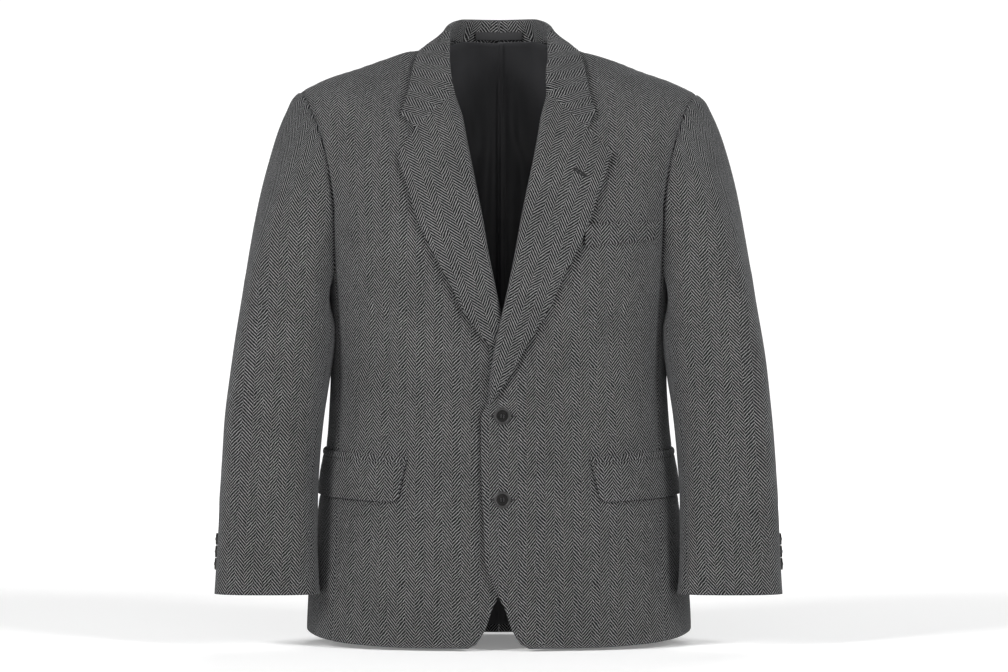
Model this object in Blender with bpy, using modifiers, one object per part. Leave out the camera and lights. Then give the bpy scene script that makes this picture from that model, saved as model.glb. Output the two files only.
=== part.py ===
"""Two-button tweed jacket with notch lapels, hollow and filled out as if it were worn.

Metres, +Z up, the front faces -Y. The origin is the middle of the neck, level with the shoulders.
Names say the wearer's side: the wearer's left is +X. Every piece of cloth is a wall with its inner face
on the forms below, and each table holds the outer face's sizes.
"""
import math

import bmesh
import bpy
import numpy as np
from mathutils import Vector

# Cloth and seams
CLOTH = 0.0018          # wall of the tweed pieces
LINING = 0.0010         # wall of the lining pieces
SEAM = 0.0004           # space between neighbouring pieces
EASE = 0.0006           # space under a piece that lies on another
LOOSE = 0.0014          # space under a flap, lapel or collar
SECTION = 2.3           # how square the torso's level sections are, 2 being an ellipse

# Torso: height, half width, depth in front, depth behind
TORSO = (
    (0.050, 0.300, 0.118, 0.112),
    (0.000, 0.290, 0.118, 0.114),
    (-0.050, 0.262, 0.120, 0.116),
    (-0.100, 0.238, 0.123, 0.119),
    (-0.150, 0.224, 0.126, 0.121),
    (-0.200, 0.214, 0.128, 0.119),
    (-0.262, 0.206, 0.128, 0.113),
    (-0.320, 0.202, 0.126, 0.105),
    (-0.385, 0.2015, 0.124, 0.100),
    (-0.440, 0.2040, 0.126, 0.103),
    (-0.485, 0.2085, 0.129, 0.109),
    (-0.540, 0.2155, 0.132, 0.115),
    (-0.600, 0.2235, 0.134, 0.120),
    (-0.653, 0.2290, 0.136, 0.124),
    (-0.687, 0.2300, 0.137, 0.126),
    (-0.720, 0.2300, 0.137, 0.126),
)
# Shoulder ridge: distance from the middle, height of the ridge, and of the form it continues in front
# and behind, which rises on under the collar
SHOULDER = (
    (0.000, 0.0300, 0.0450),
    (0.040, 0.0215, 0.0345),
    (0.068, 0.0125, 0.0125),
    (0.080, 0.0080, 0.0080),
    (0.0944, 0.0030, 0.0030),
    (0.110, -0.0005, -0.0005),
    (0.138, -0.0088, -0.0088),
    (0.1684, -0.0202, -0.0202),
    (0.2046, -0.0323, -0.0323),
    (0.2298, -0.0438, -0.0438),
    (0.2370, -0.0475, -0.0475),
    (0.2600, -0.0620, -0.0620),
)
SHOULDER_TIP = 0.2370   # half the width from shoulder tip to shoulder tip
ROLL_FRONT = 0.200      # drop from the ridge to the full depth of the chest
ROLL_BACK = 0.150       # and of the back
NECK_SIDE = 0.068       # half the width of the neck hole at the shoulder seams
BACK_NECK = 0.0140      # height of the back neckline

# Armhole: height, half width at its front edge, half width at its back edge
ARMHOLE = (
    (-0.0493, 0.2370, 0.2370),
    (-0.0560, 0.2310, 0.2320),
    (-0.0816, 0.2190, 0.2220),
    (-0.1100, 0.2090, 0.2130),
    (-0.1400, 0.2020, 0.2055),
    (-0.1686, 0.1975, 0.1995),
    (-0.1957, 0.1950, 0.1940),
    (-0.2400, 0.1940, 0.1847),
    (-0.2620, 0.1935, 0.1835),
)
ARMHOLE_FRONT_END = -0.262
ARMHOLE_BACK_END = -0.240
ARMHOLE_BOTTOM = -0.292

# Seams of the side body: height, half width at the front seam, angle round the back at the back seam
SIDE_SEAMS = (
    (-0.240, 0.1945, 118.0),
    (-0.262, 0.1935, 119.0),
    (-0.360, 0.1880, 124.0),
    (-0.450, 0.1885, 127.0),
    (-0.550, 0.1900, 128.0),
    (-0.720, 0.1970, 130.0),
)
# Hem: angle round the body from the middle of the front, height
HEM = (
    (0.0, -0.7052), (20.0, -0.7056), (45.0, -0.7030), (62.0, -0.6990),
    (78.0, -0.6935), (92.0, -0.6900), (120.0, -0.6960), (150.0, -0.7040), (180.0, -0.7060),
)

# Opening and front edge: height, half width of the roll from the opening's middle
ROLL = (
    (-0.0200, 0.0590),
    (-0.0500, 0.0550),
    (-0.0862, 0.0450),
    (-0.1031, 0.0420),
    (-0.1517, 0.0325),
    (-0.1972, 0.0235),
    (-0.2478, 0.0145),
    (-0.3154, 0.0000),
    (-0.3562, -0.0088),
    (-0.3946, -0.0145),
    (-0.4237, -0.0170),
    (-0.4400, -0.0240),
)
OPENING_MIDDLE = 0.0038
ROLL_INSET = 0.0042     # how far the front's cloth stops inside the lapel's roll
# Front edge and cutaway, wearer's left: height, x
CUTAWAY = (
    (-0.4400, -0.0202),
    (-0.4900, -0.0202),
    (-0.5274, -0.0191),
    (-0.5483, -0.0176),
    (-0.6019, -0.0155),
    (-0.6287, -0.0061),
    (-0.6450, 0.0000),
    (-0.6590, 0.0073),
    (-0.6800, 0.0140),
    (-0.6928, 0.0206),
    (-0.7015, 0.0271),
    (-0.7049, 0.0353),
)
UNDERLAP = 0.0078       # how much further the lower front reaches at the buttons
OVERLAP_LIFT = 0.0030   # rise of the upper front over the lower one
FOLD_LIFT = 0.0028      # further rise where the leg of its own lapel's fold lies between
LAPEL_LIFT = 0.0032     # and where the hidden end of the lower lapel does

# Lapels, outer edge below the tip: height, half width (wearer's left, then right)
LAPEL_LEFT = (
    (-0.1281, 0.1314), (-0.1852, 0.1116), (-0.2100, 0.1033), (-0.2323, 0.0938), (-0.2674, 0.0763),
    (-0.2985, 0.0611), (-0.3317, 0.0435), (-0.3562, 0.0295), (-0.3818, 0.0163), (-0.4004, 0.0047),
    (-0.4144, -0.0031),
)
LAPEL_RIGHT = (
    (-0.1318, 0.1172), (-0.1735, 0.1027), (-0.1935, 0.0972), (-0.2440, 0.0748), (-0.2791, 0.0557),
    (-0.3153, 0.0381), (-0.3375, 0.0224), (-0.3562, 0.0050), (-0.3700, -0.0080),
)
LAPEL_TOP = -0.0590     # height where the gorge seam meets the roll
NOTCH_LEFT = (0.1033, -0.0983)      # inner corner of the notch: half width, height
NOTCH_RIGHT = (0.0975, -0.0993)
NOTCH_SHARE = 0.66      # the notch's place between the roll and the lapel's tip
COLLAR_TIP = (0.1143, -0.0822)      # tip of the collar: half width, height
LAPEL_RISE = 0.0022     # how far the lapel's outer edge floats over the chest
GORGE = 0.0022          # space between the lapel's top edge and the collar
FOLD_LEG = 0.0075       # width of a fold's leg behind the front

# Collar: share of the way from the back to the notch, then three places, each as half width, y and
# height: the stand's lower edge, the fold, and the fall's outer edge
COLLAR = (
    (0.00, 0.0000, 0.0675, 0.0160, 0.0000, 0.0650, 0.0420, 0.0000, 0.0860, -0.0060),
    (0.14, 0.0260, 0.0635, 0.0160, 0.0240, 0.0600, 0.0420, 0.0330, 0.0840, -0.0060),
    (0.28, 0.0470, 0.0520, 0.0158, 0.0420, 0.0470, 0.0412, 0.0620, 0.0720, -0.0055),
    (0.40, 0.0595, 0.0310, 0.0165, 0.0525, 0.0270, 0.0370, 0.0850, 0.0450, 0.0008),
    (0.52, 0.0640, 0.0080, 0.0158, 0.0570, 0.0060, 0.0290, 0.0940, 0.0080, 0.0068),
    (0.64, 0.0645, -0.0080, 0.0070, 0.0595, -0.0150, 0.0145, 0.0985, -0.0180, -0.0032),
    (0.78, 0.0645, -0.0225, -0.0140, 0.0595, -0.0380, -0.0080, 0.1030, -0.0400, -0.0290),
    (0.90, 0.0625, -0.0410, -0.0380, 0.0570, -0.0610, -0.0330, 0.1080, -0.0600, -0.0560),
)
COLLAR_SPREAD = 0.0017  # half the space between the collar's two layers at the fold
FALL_BOW = 0.0010       # outward bow of the collar's fall

# Sleeves: height, outer edge, inner edge, y of the middle, half depth
SLEEVE = (
    (-0.3000, 0.3078, 0.1900, -0.0120, 0.0750),
    (-0.3450, 0.3143, 0.1935, -0.0260, 0.0710),
    (-0.3930, 0.3202, 0.2010, -0.0380, 0.0650),
    (-0.4400, 0.3248, 0.2079, -0.0470, 0.0580),
    (-0.4870, 0.3278, 0.2116, -0.0550, 0.0520),
    (-0.5340, 0.3302, 0.2141, -0.0620, 0.0460),
    (-0.5810, 0.3320, 0.2142, -0.0680, 0.0410),
    (-0.6280, 0.3340, 0.2125, -0.0730, 0.0370),
    (-0.6450, 0.3350, 0.2107, -0.0750, 0.0360),
)
SLEEVE_SECTION = 2.5    # how square the sleeve's level sections are
CUFF = -0.6450
CAP_END = -0.3350       # height where the sleeve's head has become a tube
ARM_CLEAR = 0.0020      # space between the sleeve and the body
# Sleeve head: share round the armhole from the shoulder tip by the front, the way it leaves the
# armhole (outwards, forwards, down), and how far it starts outside the body's inner face
HEAD = (
    (0.00, 0.125, 0.000, 0.140, 0.0000),
    (0.12, 0.100, 0.050, 0.120, 0.0004),
    (0.25, 0.065, 0.050, 0.095, 0.0012),
    (0.38, 0.025, 0.020, 0.040, 0.0034),
    (0.50, 0.004, 0.000, 0.040, 0.0058),
    (0.62, 0.025, -0.020, 0.040, 0.0034),
    (0.75, 0.065, -0.050, 0.095, 0.0012),
    (0.88, 0.100, -0.050, 0.120, 0.0004),
    (1.00, 0.125, 0.000, 0.140, 0.0000),
)
FOREARM_SEAM = 150.0    # angle round the sleeve, from its outer edge by the front
ELBOW_SEAM = -98.0

# Pockets: half width and height of the flap's upper front corner, angle and height of its rear end
FLAP_FRONT = (0.1080, -0.4890)
FLAP_BACK = (99.0, -0.4800)
FLAP_DROP = 0.0470
FLAP_CORNER = 0.0120
FLAP_TILT = 0.0090      # how far the flap's lower front corner lies behind the upper one
JETTING = 0.0055
# Breast welt: half width, height of its upper edge, height of its lower edge
WELT = (
    (0.1000, -0.2102, -0.2360),
    (0.1450, -0.2078, -0.2315),
    (0.1870, -0.2050, -0.2266),
)
BUTTON_X = 0.0044
FRONT_BUTTONS = (-0.4342, -0.5320)
CUFF_BUTTONS = (-0.5810, -0.5956, -0.6102)
FRONT_BUTTON_RADIUS = 0.0100
CUFF_BUTTON_RADIUS = 0.0071
LINING_HEM = -0.6955
PLEAT = 0.0060          # width by which one half of the lining folds over the other
HANGER = (0.0285, 0.0185, 0.0283)   # half width, lower edge, upper edge


def along(table, column, at):
    """Smooth value of a table's column where its first column equals at."""
    rows = np.array(table, dtype=float)
    if rows[0, 0] > rows[-1, 0]:
        rows = rows[::-1]
    keys, values = rows[:, 0], rows[:, column]
    steps = np.diff(keys)
    slopes = np.diff(values) / steps
    tangents = np.concatenate((slopes[:1], np.zeros(len(keys) - 2), slopes[-1:]))
    same = slopes[:-1] * slopes[1:] > 0
    pairs = np.where(same, slopes[:-1] + slopes[1:], 1.0)
    tangents[1:-1] = np.where(same, 2 * slopes[:-1] * slopes[1:] / pairs, 0.0)
    at = np.clip(at, keys[0], keys[-1])
    i = np.clip(np.searchsorted(keys, at, side="right") - 1, 0, len(keys) - 2)
    u = (at - keys[i]) / steps[i]
    return (
        values[i] * (1 + 2 * u) * (1 - u) ** 2
        + values[i + 1] * u * u * (3 - 2 * u)
        + steps[i] * u * (1 - u) * (tangents[i] * (1 - u) - tangents[i + 1] * u)
    )


def ease(value):
    """Soft step from 0 to 1 while the value goes from 0 to 1."""
    value = np.clip(value, 0.0, 1.0)
    return value * value * (3 - 2 * value)


def mix(start, end, share):
    return start + (end - start) * share


# ---------------------------------------------------------------- forms of the torso

def section_share(x, z):
    """Depth of the level section at x, as a share of its full depth."""
    wide = along(TORSO, 1, z) - CLOTH
    return np.maximum(1 - np.minimum(np.abs(x) / wide, 0.9999) ** SECTION, 0) ** (1 / SECTION)


def overlap(side, x, z):
    """Rise of the wearer's left front where it lies on the other front and its lapel."""
    if side < 0:
        return 0.0
    rise = OVERLAP_LIFT + FOLD_LIFT * ease((z + 0.455) / 0.025) + LAPEL_LIFT * ease((z + 0.42) / 0.03)
    return rise * ease((0.085 - x) / 0.055) * ease((-0.245 - z) / 0.055)


def front_y(side, x, z):
    """Depth of the front's inner face at x and height z."""
    x, z = np.broadcast_arrays(np.asarray(x, float), np.asarray(z, float))
    half = np.abs(x)
    drop = np.clip((along(SHOULDER, 1, half) - CLOTH - z) / ROLL_FRONT, 0, 1)
    power = 0.5 + 0.5 * ease((0.20 - half) / 0.13)
    curve = (1 - (1 - drop) ** 2) ** power
    deep = along(TORSO, 2, z) - CLOTH
    return -deep * section_share(x, z) * curve - overlap(side, x, z)


def back_y(x, z):
    """Depth of the back's inner face at x and height z."""
    x, z = np.broadcast_arrays(np.asarray(x, float), np.asarray(z, float))
    half = np.abs(x)
    drop = np.clip((along(SHOULDER, 2, half) - CLOTH - z) / ROLL_BACK, 0, 1)
    curve = np.sqrt(1 - (1 - drop) ** 2)
    return (along(TORSO, 3, z) - CLOTH) * section_share(x, z) * curve


def around(side, angle, z):
    """Point of the torso's inner face at an angle round from the middle of the front."""
    turn = np.radians(angle)
    wide = along(TORSO, 1, z) - CLOTH
    deep = np.where(angle < 90, along(TORSO, 2, z), along(TORSO, 3, z)) - CLOTH
    x = side * wide * np.abs(np.sin(turn)) ** (2 / SECTION)
    y = -deep * np.sign(np.cos(turn)) * np.abs(np.cos(turn)) ** (2 / SECTION)
    return np.stack(np.broadcast_arrays(x, y, z), axis=-1)


def angle_at(x, z):
    """Angle round from the middle of the front at x, up to the side."""
    wide = along(TORSO, 1, z) - CLOTH
    return np.degrees(np.arcsin(np.minimum(np.abs(x) / wide, 0.9999) ** (SECTION / 2)))


def normals(surface, a, b, step_a, step_b):
    """Unit normals of surface(a, b), to the left of its first direction seen along the second."""
    along_a = surface(a + step_a, b) - surface(a - step_a, b)
    along_b = surface(a, b + step_b) - surface(a, b - step_b)
    across = np.cross(along_a, along_b)
    return across / np.linalg.norm(across, axis=-1, keepdims=True)


def on_front(side, x, z, rise=0.0):
    """Point a given rise outside the front's inner face."""
    def face(at_x, at_z):
        y = front_y(side, at_x, at_z)
        return np.stack(np.broadcast_arrays(at_x, y, at_z), axis=-1)
    x, z = np.broadcast_arrays(np.asarray(x, float), np.asarray(z, float))
    rise = np.broadcast_to(rise, x.shape)
    return face(x, z) + normals(face, x, z, 1e-4, 1e-4) * rise[..., None]


def on_back(x, z, rise=0.0):
    """Point a given rise outside the back's inner face."""
    def face(at_x, at_z):
        return np.stack(np.broadcast_arrays(at_x, back_y(at_x, at_z), at_z), axis=-1)
    x, z = np.broadcast_arrays(np.asarray(x, float), np.asarray(z, float))
    rise = np.broadcast_to(rise, x.shape)
    return face(x, z) - normals(face, x, z, 1e-4, 1e-4) * rise[..., None]


def on_side(side, angle, z, rise=0.0):
    """Point a given rise outside the torso's inner face, by its angle round."""
    def face(at_angle, at_z):
        return around(side, at_angle, at_z)
    angle, z = np.broadcast_arrays(np.asarray(angle, float), np.asarray(z, float))
    rise = np.broadcast_to(rise, angle.shape)
    return face(angle, z) + side * normals(face, angle, z, 0.05, 1e-4) * rise[..., None]


# ---------------------------------------------------------------- edges of the panels

def middle(z):
    """Middle of the opening at a height."""
    return OPENING_MIDDLE * ease((0.01 - z) / 0.10)


def roll_edge(side, z):
    """Half width of the lapel's roll, towards the wearer's given side."""
    return along(ROLL, 1, z) + side * middle(z)


def front_inner(side, z):
    """Inner edge of a front's cloth: neckline, roll, front edge and cutaway."""
    roll = roll_edge(side, z) + ROLL_INSET
    neck = mix(NECK_SIDE, roll, ease(-z / 0.072))
    plain = along(CUTAWAY, 1, z)
    if side < 0:
        plain = plain - UNDERLAP * ease((z + 0.65) / 0.06)
    return mix(neck, plain, ease((-0.412 - z) / 0.025))


def front_outer(z):
    """Outer edge of a front: armhole, then side seam."""
    return np.where(z > ARMHOLE_FRONT_END, along(ARMHOLE, 1, z), along(SIDE_SEAMS, 1, z))


def back_outer(z):
    """Outer edge of a back: armhole, then the seam with the side body."""
    seam = np.abs(around(1, along(SIDE_SEAMS, 2, z), z)[..., 0])
    return np.where(z > ARMHOLE_BACK_END, along(ARMHOLE, 2, z), seam)


def side_top(share):
    """Height of the armhole's bottom, by share of the way from its front to its back."""
    low = ARMHOLE_BOTTOM - (ARMHOLE_FRONT_END + ARMHOLE_BACK_END) / 2
    return mix(ARMHOLE_FRONT_END, ARMHOLE_BACK_END, share) + low * np.sin(math.pi * share)


def shares(top, turn, bottom, upper, lower):
    """Row heights as shares of the way down: eased from the ridge to the turn, then even, close at the hem."""
    steps = np.linspace(0, 1, upper + 1)[:-1] ** 1.5
    high = steps * (top - turn) / (top - bottom)
    rest = np.concatenate((np.linspace(0, 0.93, lower + 1), (0.955, 0.975, 0.99, 1.0)))
    return np.concatenate((high, mix((top - turn) / (top - bottom), 1.0, rest)))


def trimmed(grid, left=SEAM, right=SEAM, top=SEAM, bottom=0.0):
    """The same grid with its edges drawn in by half of each given space."""
    grid = grid.copy()
    for index, beside, space in ((0, 1, left), (-1, -2, right)):
        step = grid[:, beside] - grid[:, index]
        grid[:, index] += step / np.linalg.norm(step, axis=-1, keepdims=True) * space / 2
    for index, beside, space in ((0, 1, top), (-1, -2, bottom)):
        step = grid[beside] - grid[index]
        grid[index] += step / np.linalg.norm(step, axis=-1, keepdims=True) * space / 2
    return grid


def settle(inner, outer, top, bottom, share_across, share_down):
    """Place of each grid point where both the edges and the rows depend on the place itself."""
    across, down = np.meshgrid(share_across, share_down)
    x = np.full(across.shape, 0.1)
    z = mix(0.0, -0.7, down)
    for _ in range(12):
        x = mix(inner(z), outer(z), across)
        z = mix(top(x), bottom(x, z), down)
    return x, z


# ---------------------------------------------------------------- panels

UPPER_ROWS = 9
LOWER_ROWS = 12


def front_panel(side, columns=9):
    """Front, from the shoulder seam to the hem and from the side seam to the opening."""
    top = along(SHOULDER, 1, SHOULDER_TIP)
    down = shares(top, ARMHOLE_FRONT_END, along(HEM, 1, 62.0), UPPER_ROWS, LOWER_ROWS)
    x, z = settle(
        lambda at: front_inner(side, at), front_outer,
        lambda at: along(SHOULDER, 1, at) - CLOTH,
        lambda at, high: along(HEM, 1, angle_at(at, high)),
        np.linspace(0, 1, columns + 1), down)
    y = front_y(side, side * x, z)
    return trimmed(np.stack((side * x, y, z), axis=-1))


def back_top(x):
    """Upper edge of the back: shoulder seam, then the level neckline."""
    return np.minimum(along(SHOULDER, 2, x) - CLOTH, BACK_NECK)


def back_places(columns=8):
    """Half width and height of the points of half the back."""
    top = along(SHOULDER, 2, SHOULDER_TIP)
    down = shares(top, ARMHOLE_BACK_END, along(HEM, 1, 130.0), UPPER_ROWS, LOWER_ROWS)
    return settle(
        lambda at: 0 * at, back_outer, back_top,
        lambda at, high: along(HEM, 1, 180 - angle_at(at, high)),
        np.linspace(0, 1, columns + 1), down)


def back_panel(side):
    """Half of the back, from the middle seam to the side seam and armhole."""
    x, z = back_places()
    return trimmed(np.stack((side * x, back_y(x, z), z), axis=-1))


def side_panel(side, columns=8):
    """Side body, from the bottom of the armhole to the hem."""
    across = np.linspace(0, 1, columns + 1)[None, :]
    down = shares(0.0, 0.0, -1.0, 0, LOWER_ROWS)[:, None]
    z = mix(-0.262, -0.69, down) + 0 * across
    for _ in range(6):
        start = angle_at(along(SIDE_SEAMS, 1, z), z)
        angle = mix(start, along(SIDE_SEAMS, 2, z), across)
        z = mix(side_top(across), along(HEM, 1, angle), down)
    return trimmed(around(side, angle, z))


# ---------------------------------------------------------------- sleeves

def seam_angle(z):
    """Angle round the body of the side body's front seam."""
    return angle_at(along(SIDE_SEAMS, 1, z), z)


def armhole(side, share):
    """Point of the armhole's edge, by share of the way round it from the shoulder tip by the front."""
    top = ARMHOLE[0][0]
    down = np.clip(share / 0.38, 0, 1) ** 1.2
    z = mix(top, ARMHOLE_FRONT_END, down)
    x = side * along(ARMHOLE, 1, z)
    front = np.stack((x, front_y(side, x, z), z), axis=-1)
    below = np.clip((share - 0.38) / 0.24, 0, 1)
    low = side_top(below)
    turn = mix(seam_angle(low), along(SIDE_SEAMS, 2, low), below)
    bottom = around(side, turn, low)
    up = np.clip((1 - share) / 0.38, 0, 1) ** 1.2
    high = mix(top, ARMHOLE_BACK_END, up)
    x = side * along(ARMHOLE, 2, high)
    back = np.stack((x, back_y(x, high), high), axis=-1)
    which = np.broadcast_to(share, front.shape[:-1])[..., None]
    return np.where(which < 0.38, front, np.where(which < 0.62, bottom, back))


def ring(side, turn, z):
    """Point of the sleeve's inner face, by angle round it from its outer edge by the front."""
    outer = along(SLEEVE, 1, z) - CLOTH
    inner = along(SLEEVE, 2, z) + CLOTH
    c, s = np.cos(np.radians(turn)), np.sin(np.radians(turn))
    x = (outer + inner) / 2 + (outer - inner) / 2 * np.sign(c) * np.abs(c) ** (2 / SLEEVE_SECTION)
    y = along(SLEEVE, 3, z) - (along(SLEEVE, 4, z) - CLOTH) * np.sign(s) * np.abs(s) ** (2 / SLEEVE_SECTION)
    return np.stack(np.broadcast_arrays(side * x, y, z), axis=-1)


def body_width(y, z):
    """Half width of the torso's inner face at depth y."""
    deep = np.where(y < 0, along(TORSO, 2, z), along(TORSO, 3, z)) - CLOTH
    share = np.maximum(1 - np.minimum(np.abs(y) / deep, 0.9999) ** SECTION, 0) ** (1 / SECTION)
    return (along(TORSO, 1, z) - CLOTH) * share


def beside_body(side, points):
    """The same points, moved out of the body's way below the armhole."""
    points = points.copy()
    least = body_width(points[..., 1], points[..., 2]) + 2 * CLOTH + ARM_CLEAR
    least = least - (1 - ease((-0.262 - points[..., 2]) / 0.02)) * 0.05
    points[..., 0] = side * np.maximum(side * points[..., 0], least)
    return points


def sleeve(side, turn, down):
    """Point of the sleeve's inner face: down is 0 at the armhole, 1 where the tube starts, 2 at the cuff."""
    turn, down = np.broadcast_arrays(np.asarray(turn, float), np.asarray(down, float))
    share = np.mod(turn / 360, 1.0)
    start = armhole(side, share)
    out, forward, fall = (along(HEAD, column, share) for column in (1, 2, 3))
    leave = np.stack((side * out, -forward, -fall), axis=-1)
    away = leave / np.linalg.norm(leave, axis=-1, keepdims=True)
    low = ease((share - 0.25) / 0.13) * ease((0.75 - share) / 0.13)
    start = start + away * (2.5 * SEAM + 0.0006 * (1 - low))[..., None]
    width = np.stack((side * along(HEAD, 4, share), 0 * share, 0 * share), axis=-1)
    start = start + width
    end = ring(side, turn, np.full(turn.shape, CAP_END))
    below = ring(side, turn, np.full(turn.shape, CAP_END - 0.01))
    arrive = (below - end) / 0.01 * np.linalg.norm(end - start, axis=-1, keepdims=True)
    u = np.clip(down, 0, 1)[..., None]
    head = (
        start * (1 + 2 * u) * (1 - u) ** 2 + end * u * u * (3 - 2 * u)
        + leave * u * (1 - u) ** 2 - arrive * u * u * (1 - u)
    )
    tube = ring(side, turn, mix(CAP_END, CUFF, np.clip(down - 1, 0, 1)))
    return beside_body(side, np.where(down[..., None] < 1, head, tube))


def sleeve_panel(side, start, end, columns):
    turn = np.linspace(start, end, columns + 1)[None, :]
    down = np.concatenate((np.linspace(0, 1, 10)[:-1] ** 1.15, 1 + np.linspace(0, 1, 9)))[:, None]
    return trimmed(sleeve(side, turn, down), top=0.0)


# ---------------------------------------------------------------- lapels and collar

def fold_places(side, z, x):
    """Leg and edge of a fold: points behind the front, at its edge, on the fold's crown, and in front."""
    edge = x + ROLL_INSET
    return (
        on_front(side, side * (edge + FOLD_LEG), z, -LOOSE),
        on_front(side, side * (edge - 0.0004), z, -LOOSE),
        on_front(side, side * (x + CLOTH), z, CLOTH / 2),
        on_front(side, side * (edge - 0.0004), z, CLOTH + LOOSE),
    )


def chest_line(side, tip, share):
    """Half width and height along the gorge seam from the roll, round the notch's corner, to a tip."""
    notch = NOTCH_LEFT if side > 0 else NOTCH_RIGHT
    start = (float(roll_edge(side, LAPEL_TOP)) + ROLL_INSET, LAPEL_TOP)
    keys = (0.0, NOTCH_SHARE, 1.0)
    return [np.interp(share, keys, (start[i], notch[i], tip[i])) for i in range(2)]


def float_rise(share):
    """Rise of a lapel or collar outside the front's inner face, by share of its way from the roll."""
    return CLOTH + LOOSE + LAPEL_RISE * ease(share / 0.8)


def lapel(side, rows=14):
    """Lapel, folded round the front's edge and laid back over the chest."""
    edge = LAPEL_LEFT if side > 0 else LAPEL_RIGHT
    end = -0.4070 if side > 0 else -0.3850
    down = np.linspace(0, 1, rows + 1)
    roll_z = mix(LAPEL_TOP - SEAM, end, down)
    edge_z = mix(edge[0][0], edge[-1][0], down)
    roll_x = roll_edge(side, roll_z)
    edge_x = along(edge, 1, edge_z)
    lines = list(fold_places(side, roll_z, roll_x))
    start = roll_x + ROLL_INSET
    tip = (edge_x[0], edge_z[0])
    for share in (0.18, 0.36, 0.52, NOTCH_SHARE, 0.84, 1.0):
        top_x, top_z = chest_line(side, tip, share)
        fade = (1 - down) ** 3
        x = mix(start, edge_x, share) + (top_x - mix(start[0], edge_x[0], share)) * fade
        z = mix(roll_z, edge_z, share) + (top_z - mix(roll_z[0], edge_z[0], share)) * fade
        flat = (float_rise(share) - CLOTH - LOOSE) * ease((1 - down) / 0.25)
        lines.append(on_front(side, side * x, z - SEAM * fade, CLOTH + LOOSE + flat))
    return np.stack(lines, axis=1)


def collar_half(side):
    """Lower edge of the stand, fold and outer edge of the fall, from the back to the notch."""
    top = LAPEL_TOP + GORGE
    x = float(roll_edge(side, top))
    behind, _, crown, _ = fold_places(side, top, x)
    behind[1] += 6 * EASE
    tip = on_front(side, side * COLLAR_TIP[0], COLLAR_TIP[1], float_rise(1.0))
    rows = np.array(COLLAR)
    places = [np.stack((side * rows[:, c], rows[:, c + 1], rows[:, c + 2]), axis=-1) for c in (1, 4, 7)]
    stand, fold, edge = (
        np.vstack((place, last)) for place, last in zip(places, (behind, crown, tip))
    )
    return np.append(rows[:, 0], 1.0), stand, fold, edge


def outside(side, points):
    """The same points, moved in front of the front panel and behind the back panel."""
    points = points.copy()
    x, y, z = points[..., 0], points[..., 1], points[..., 2]
    off = CLOTH + 1.5 * LOOSE
    ahead = front_y(side, x, z - off) - off
    behind = back_y(x, z - off) + off
    points[..., 1] = np.where(y < 0, np.minimum(y, ahead), np.maximum(y, behind))
    return points


def collar_side(side, rows):
    """Half of the collar, from the middle of the back to the notch."""
    keys, stand, fold, edge = collar_half(side)
    at = np.linspace(0, 1, rows + 1)

    def smooth(places):
        return np.stack([along(np.column_stack((keys, places[:, c])), 1, at) for c in range(3)], axis=-1)

    stand, fold, edge = smooth(stand), smooth(fold), smooth(edge)
    crown = fold - (stand + edge) / 2
    crown /= np.linalg.norm(crown, axis=-1, keepdims=True)
    spread = edge - stand
    spread -= crown * np.sum(spread * crown, axis=-1, keepdims=True)
    spread /= np.linalg.norm(spread, axis=-1, keepdims=True)
    inner = fold - spread * COLLAR_SPREAD - crown * COLLAR_SPREAD
    outer = fold + spread * COLLAR_SPREAD - crown * COLLAR_SPREAD
    lines = [stand, mix(stand, inner, 0.5), inner, fold, outer]
    pull = (at ** 5)[:, None]
    for share in (0.20, 0.42, NOTCH_SHARE, 0.84, 1.0):
        straight = mix(outer, edge, share)
        bow = spread * (FALL_BOW * 4 * share * (1 - share))
        x, z = chest_line(side, COLLAR_TIP, share)
        last = on_front(side, side * x, z + GORGE, float_rise(share))
        lines.append(outside(side, straight + bow + (last - straight[-1] - bow[-1]) * pull))
        lines[-1][-1] = last
    return np.stack(lines, axis=1)


def collar(rows=12):
    """Whole collar, from notch to notch round the back of the neck."""
    left, right = collar_side(1, rows), collar_side(-1, rows)
    return np.concatenate((right[::-1], left[1:]), axis=0)


# ---------------------------------------------------------------- what lies on the panels

def flap(side):
    """Pocket flap, round the side of the body, with one rounded corner."""
    front = float(angle_at(FLAP_FRONT[0], FLAP_FRONT[1]))
    lean = float(angle_at(FLAP_FRONT[0] + FLAP_TILT, FLAP_FRONT[1] - FLAP_DROP)) - front
    across = np.array((0.0, 0.035, 0.08, 0.2, 0.34, 0.48, 0.62, 0.76, 0.88, 1.0))
    reach = np.clip(1 - across * 0.135 / FLAP_CORNER, 0, 1)
    short = FLAP_CORNER * (1 - np.sqrt(1 - reach ** 2))
    top = mix(FLAP_FRONT[1], FLAP_BACK[1], across)
    lines = []
    for down in np.linspace(0, 1, 5):
        angle = mix(front + lean * down, FLAP_BACK[0], across)
        z = top - (FLAP_DROP - short) * down
        lines.append(on_side(side, angle, z, CLOTH + LOOSE))
    return np.stack(lines, axis=0)


def jetting(side):
    """Strip of cloth along the pocket mouth, just above the flap."""
    front = float(angle_at(FLAP_FRONT[0] - 0.001, FLAP_FRONT[1]))
    across = np.linspace(0, 1, 10)
    angle = mix(front, FLAP_BACK[0] + 0.5, across)
    low = mix(FLAP_FRONT[1], FLAP_BACK[1], across) + 2 * SEAM
    return np.stack([on_side(side, angle, low + rise, CLOTH + LOOSE) for rise in (0, JETTING)], axis=0)


def welt(columns=7):
    """Breast pocket's welt."""
    x = np.linspace(WELT[0][0], WELT[-1][0], columns + 1)
    high, low = along(WELT, 1, x), along(WELT, 2, x)
    return np.stack([on_front(1, x, mix(high, low, share), CLOTH + EASE / 2)
                     for share in (0, 0.33, 0.67, 1)], axis=0)


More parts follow.
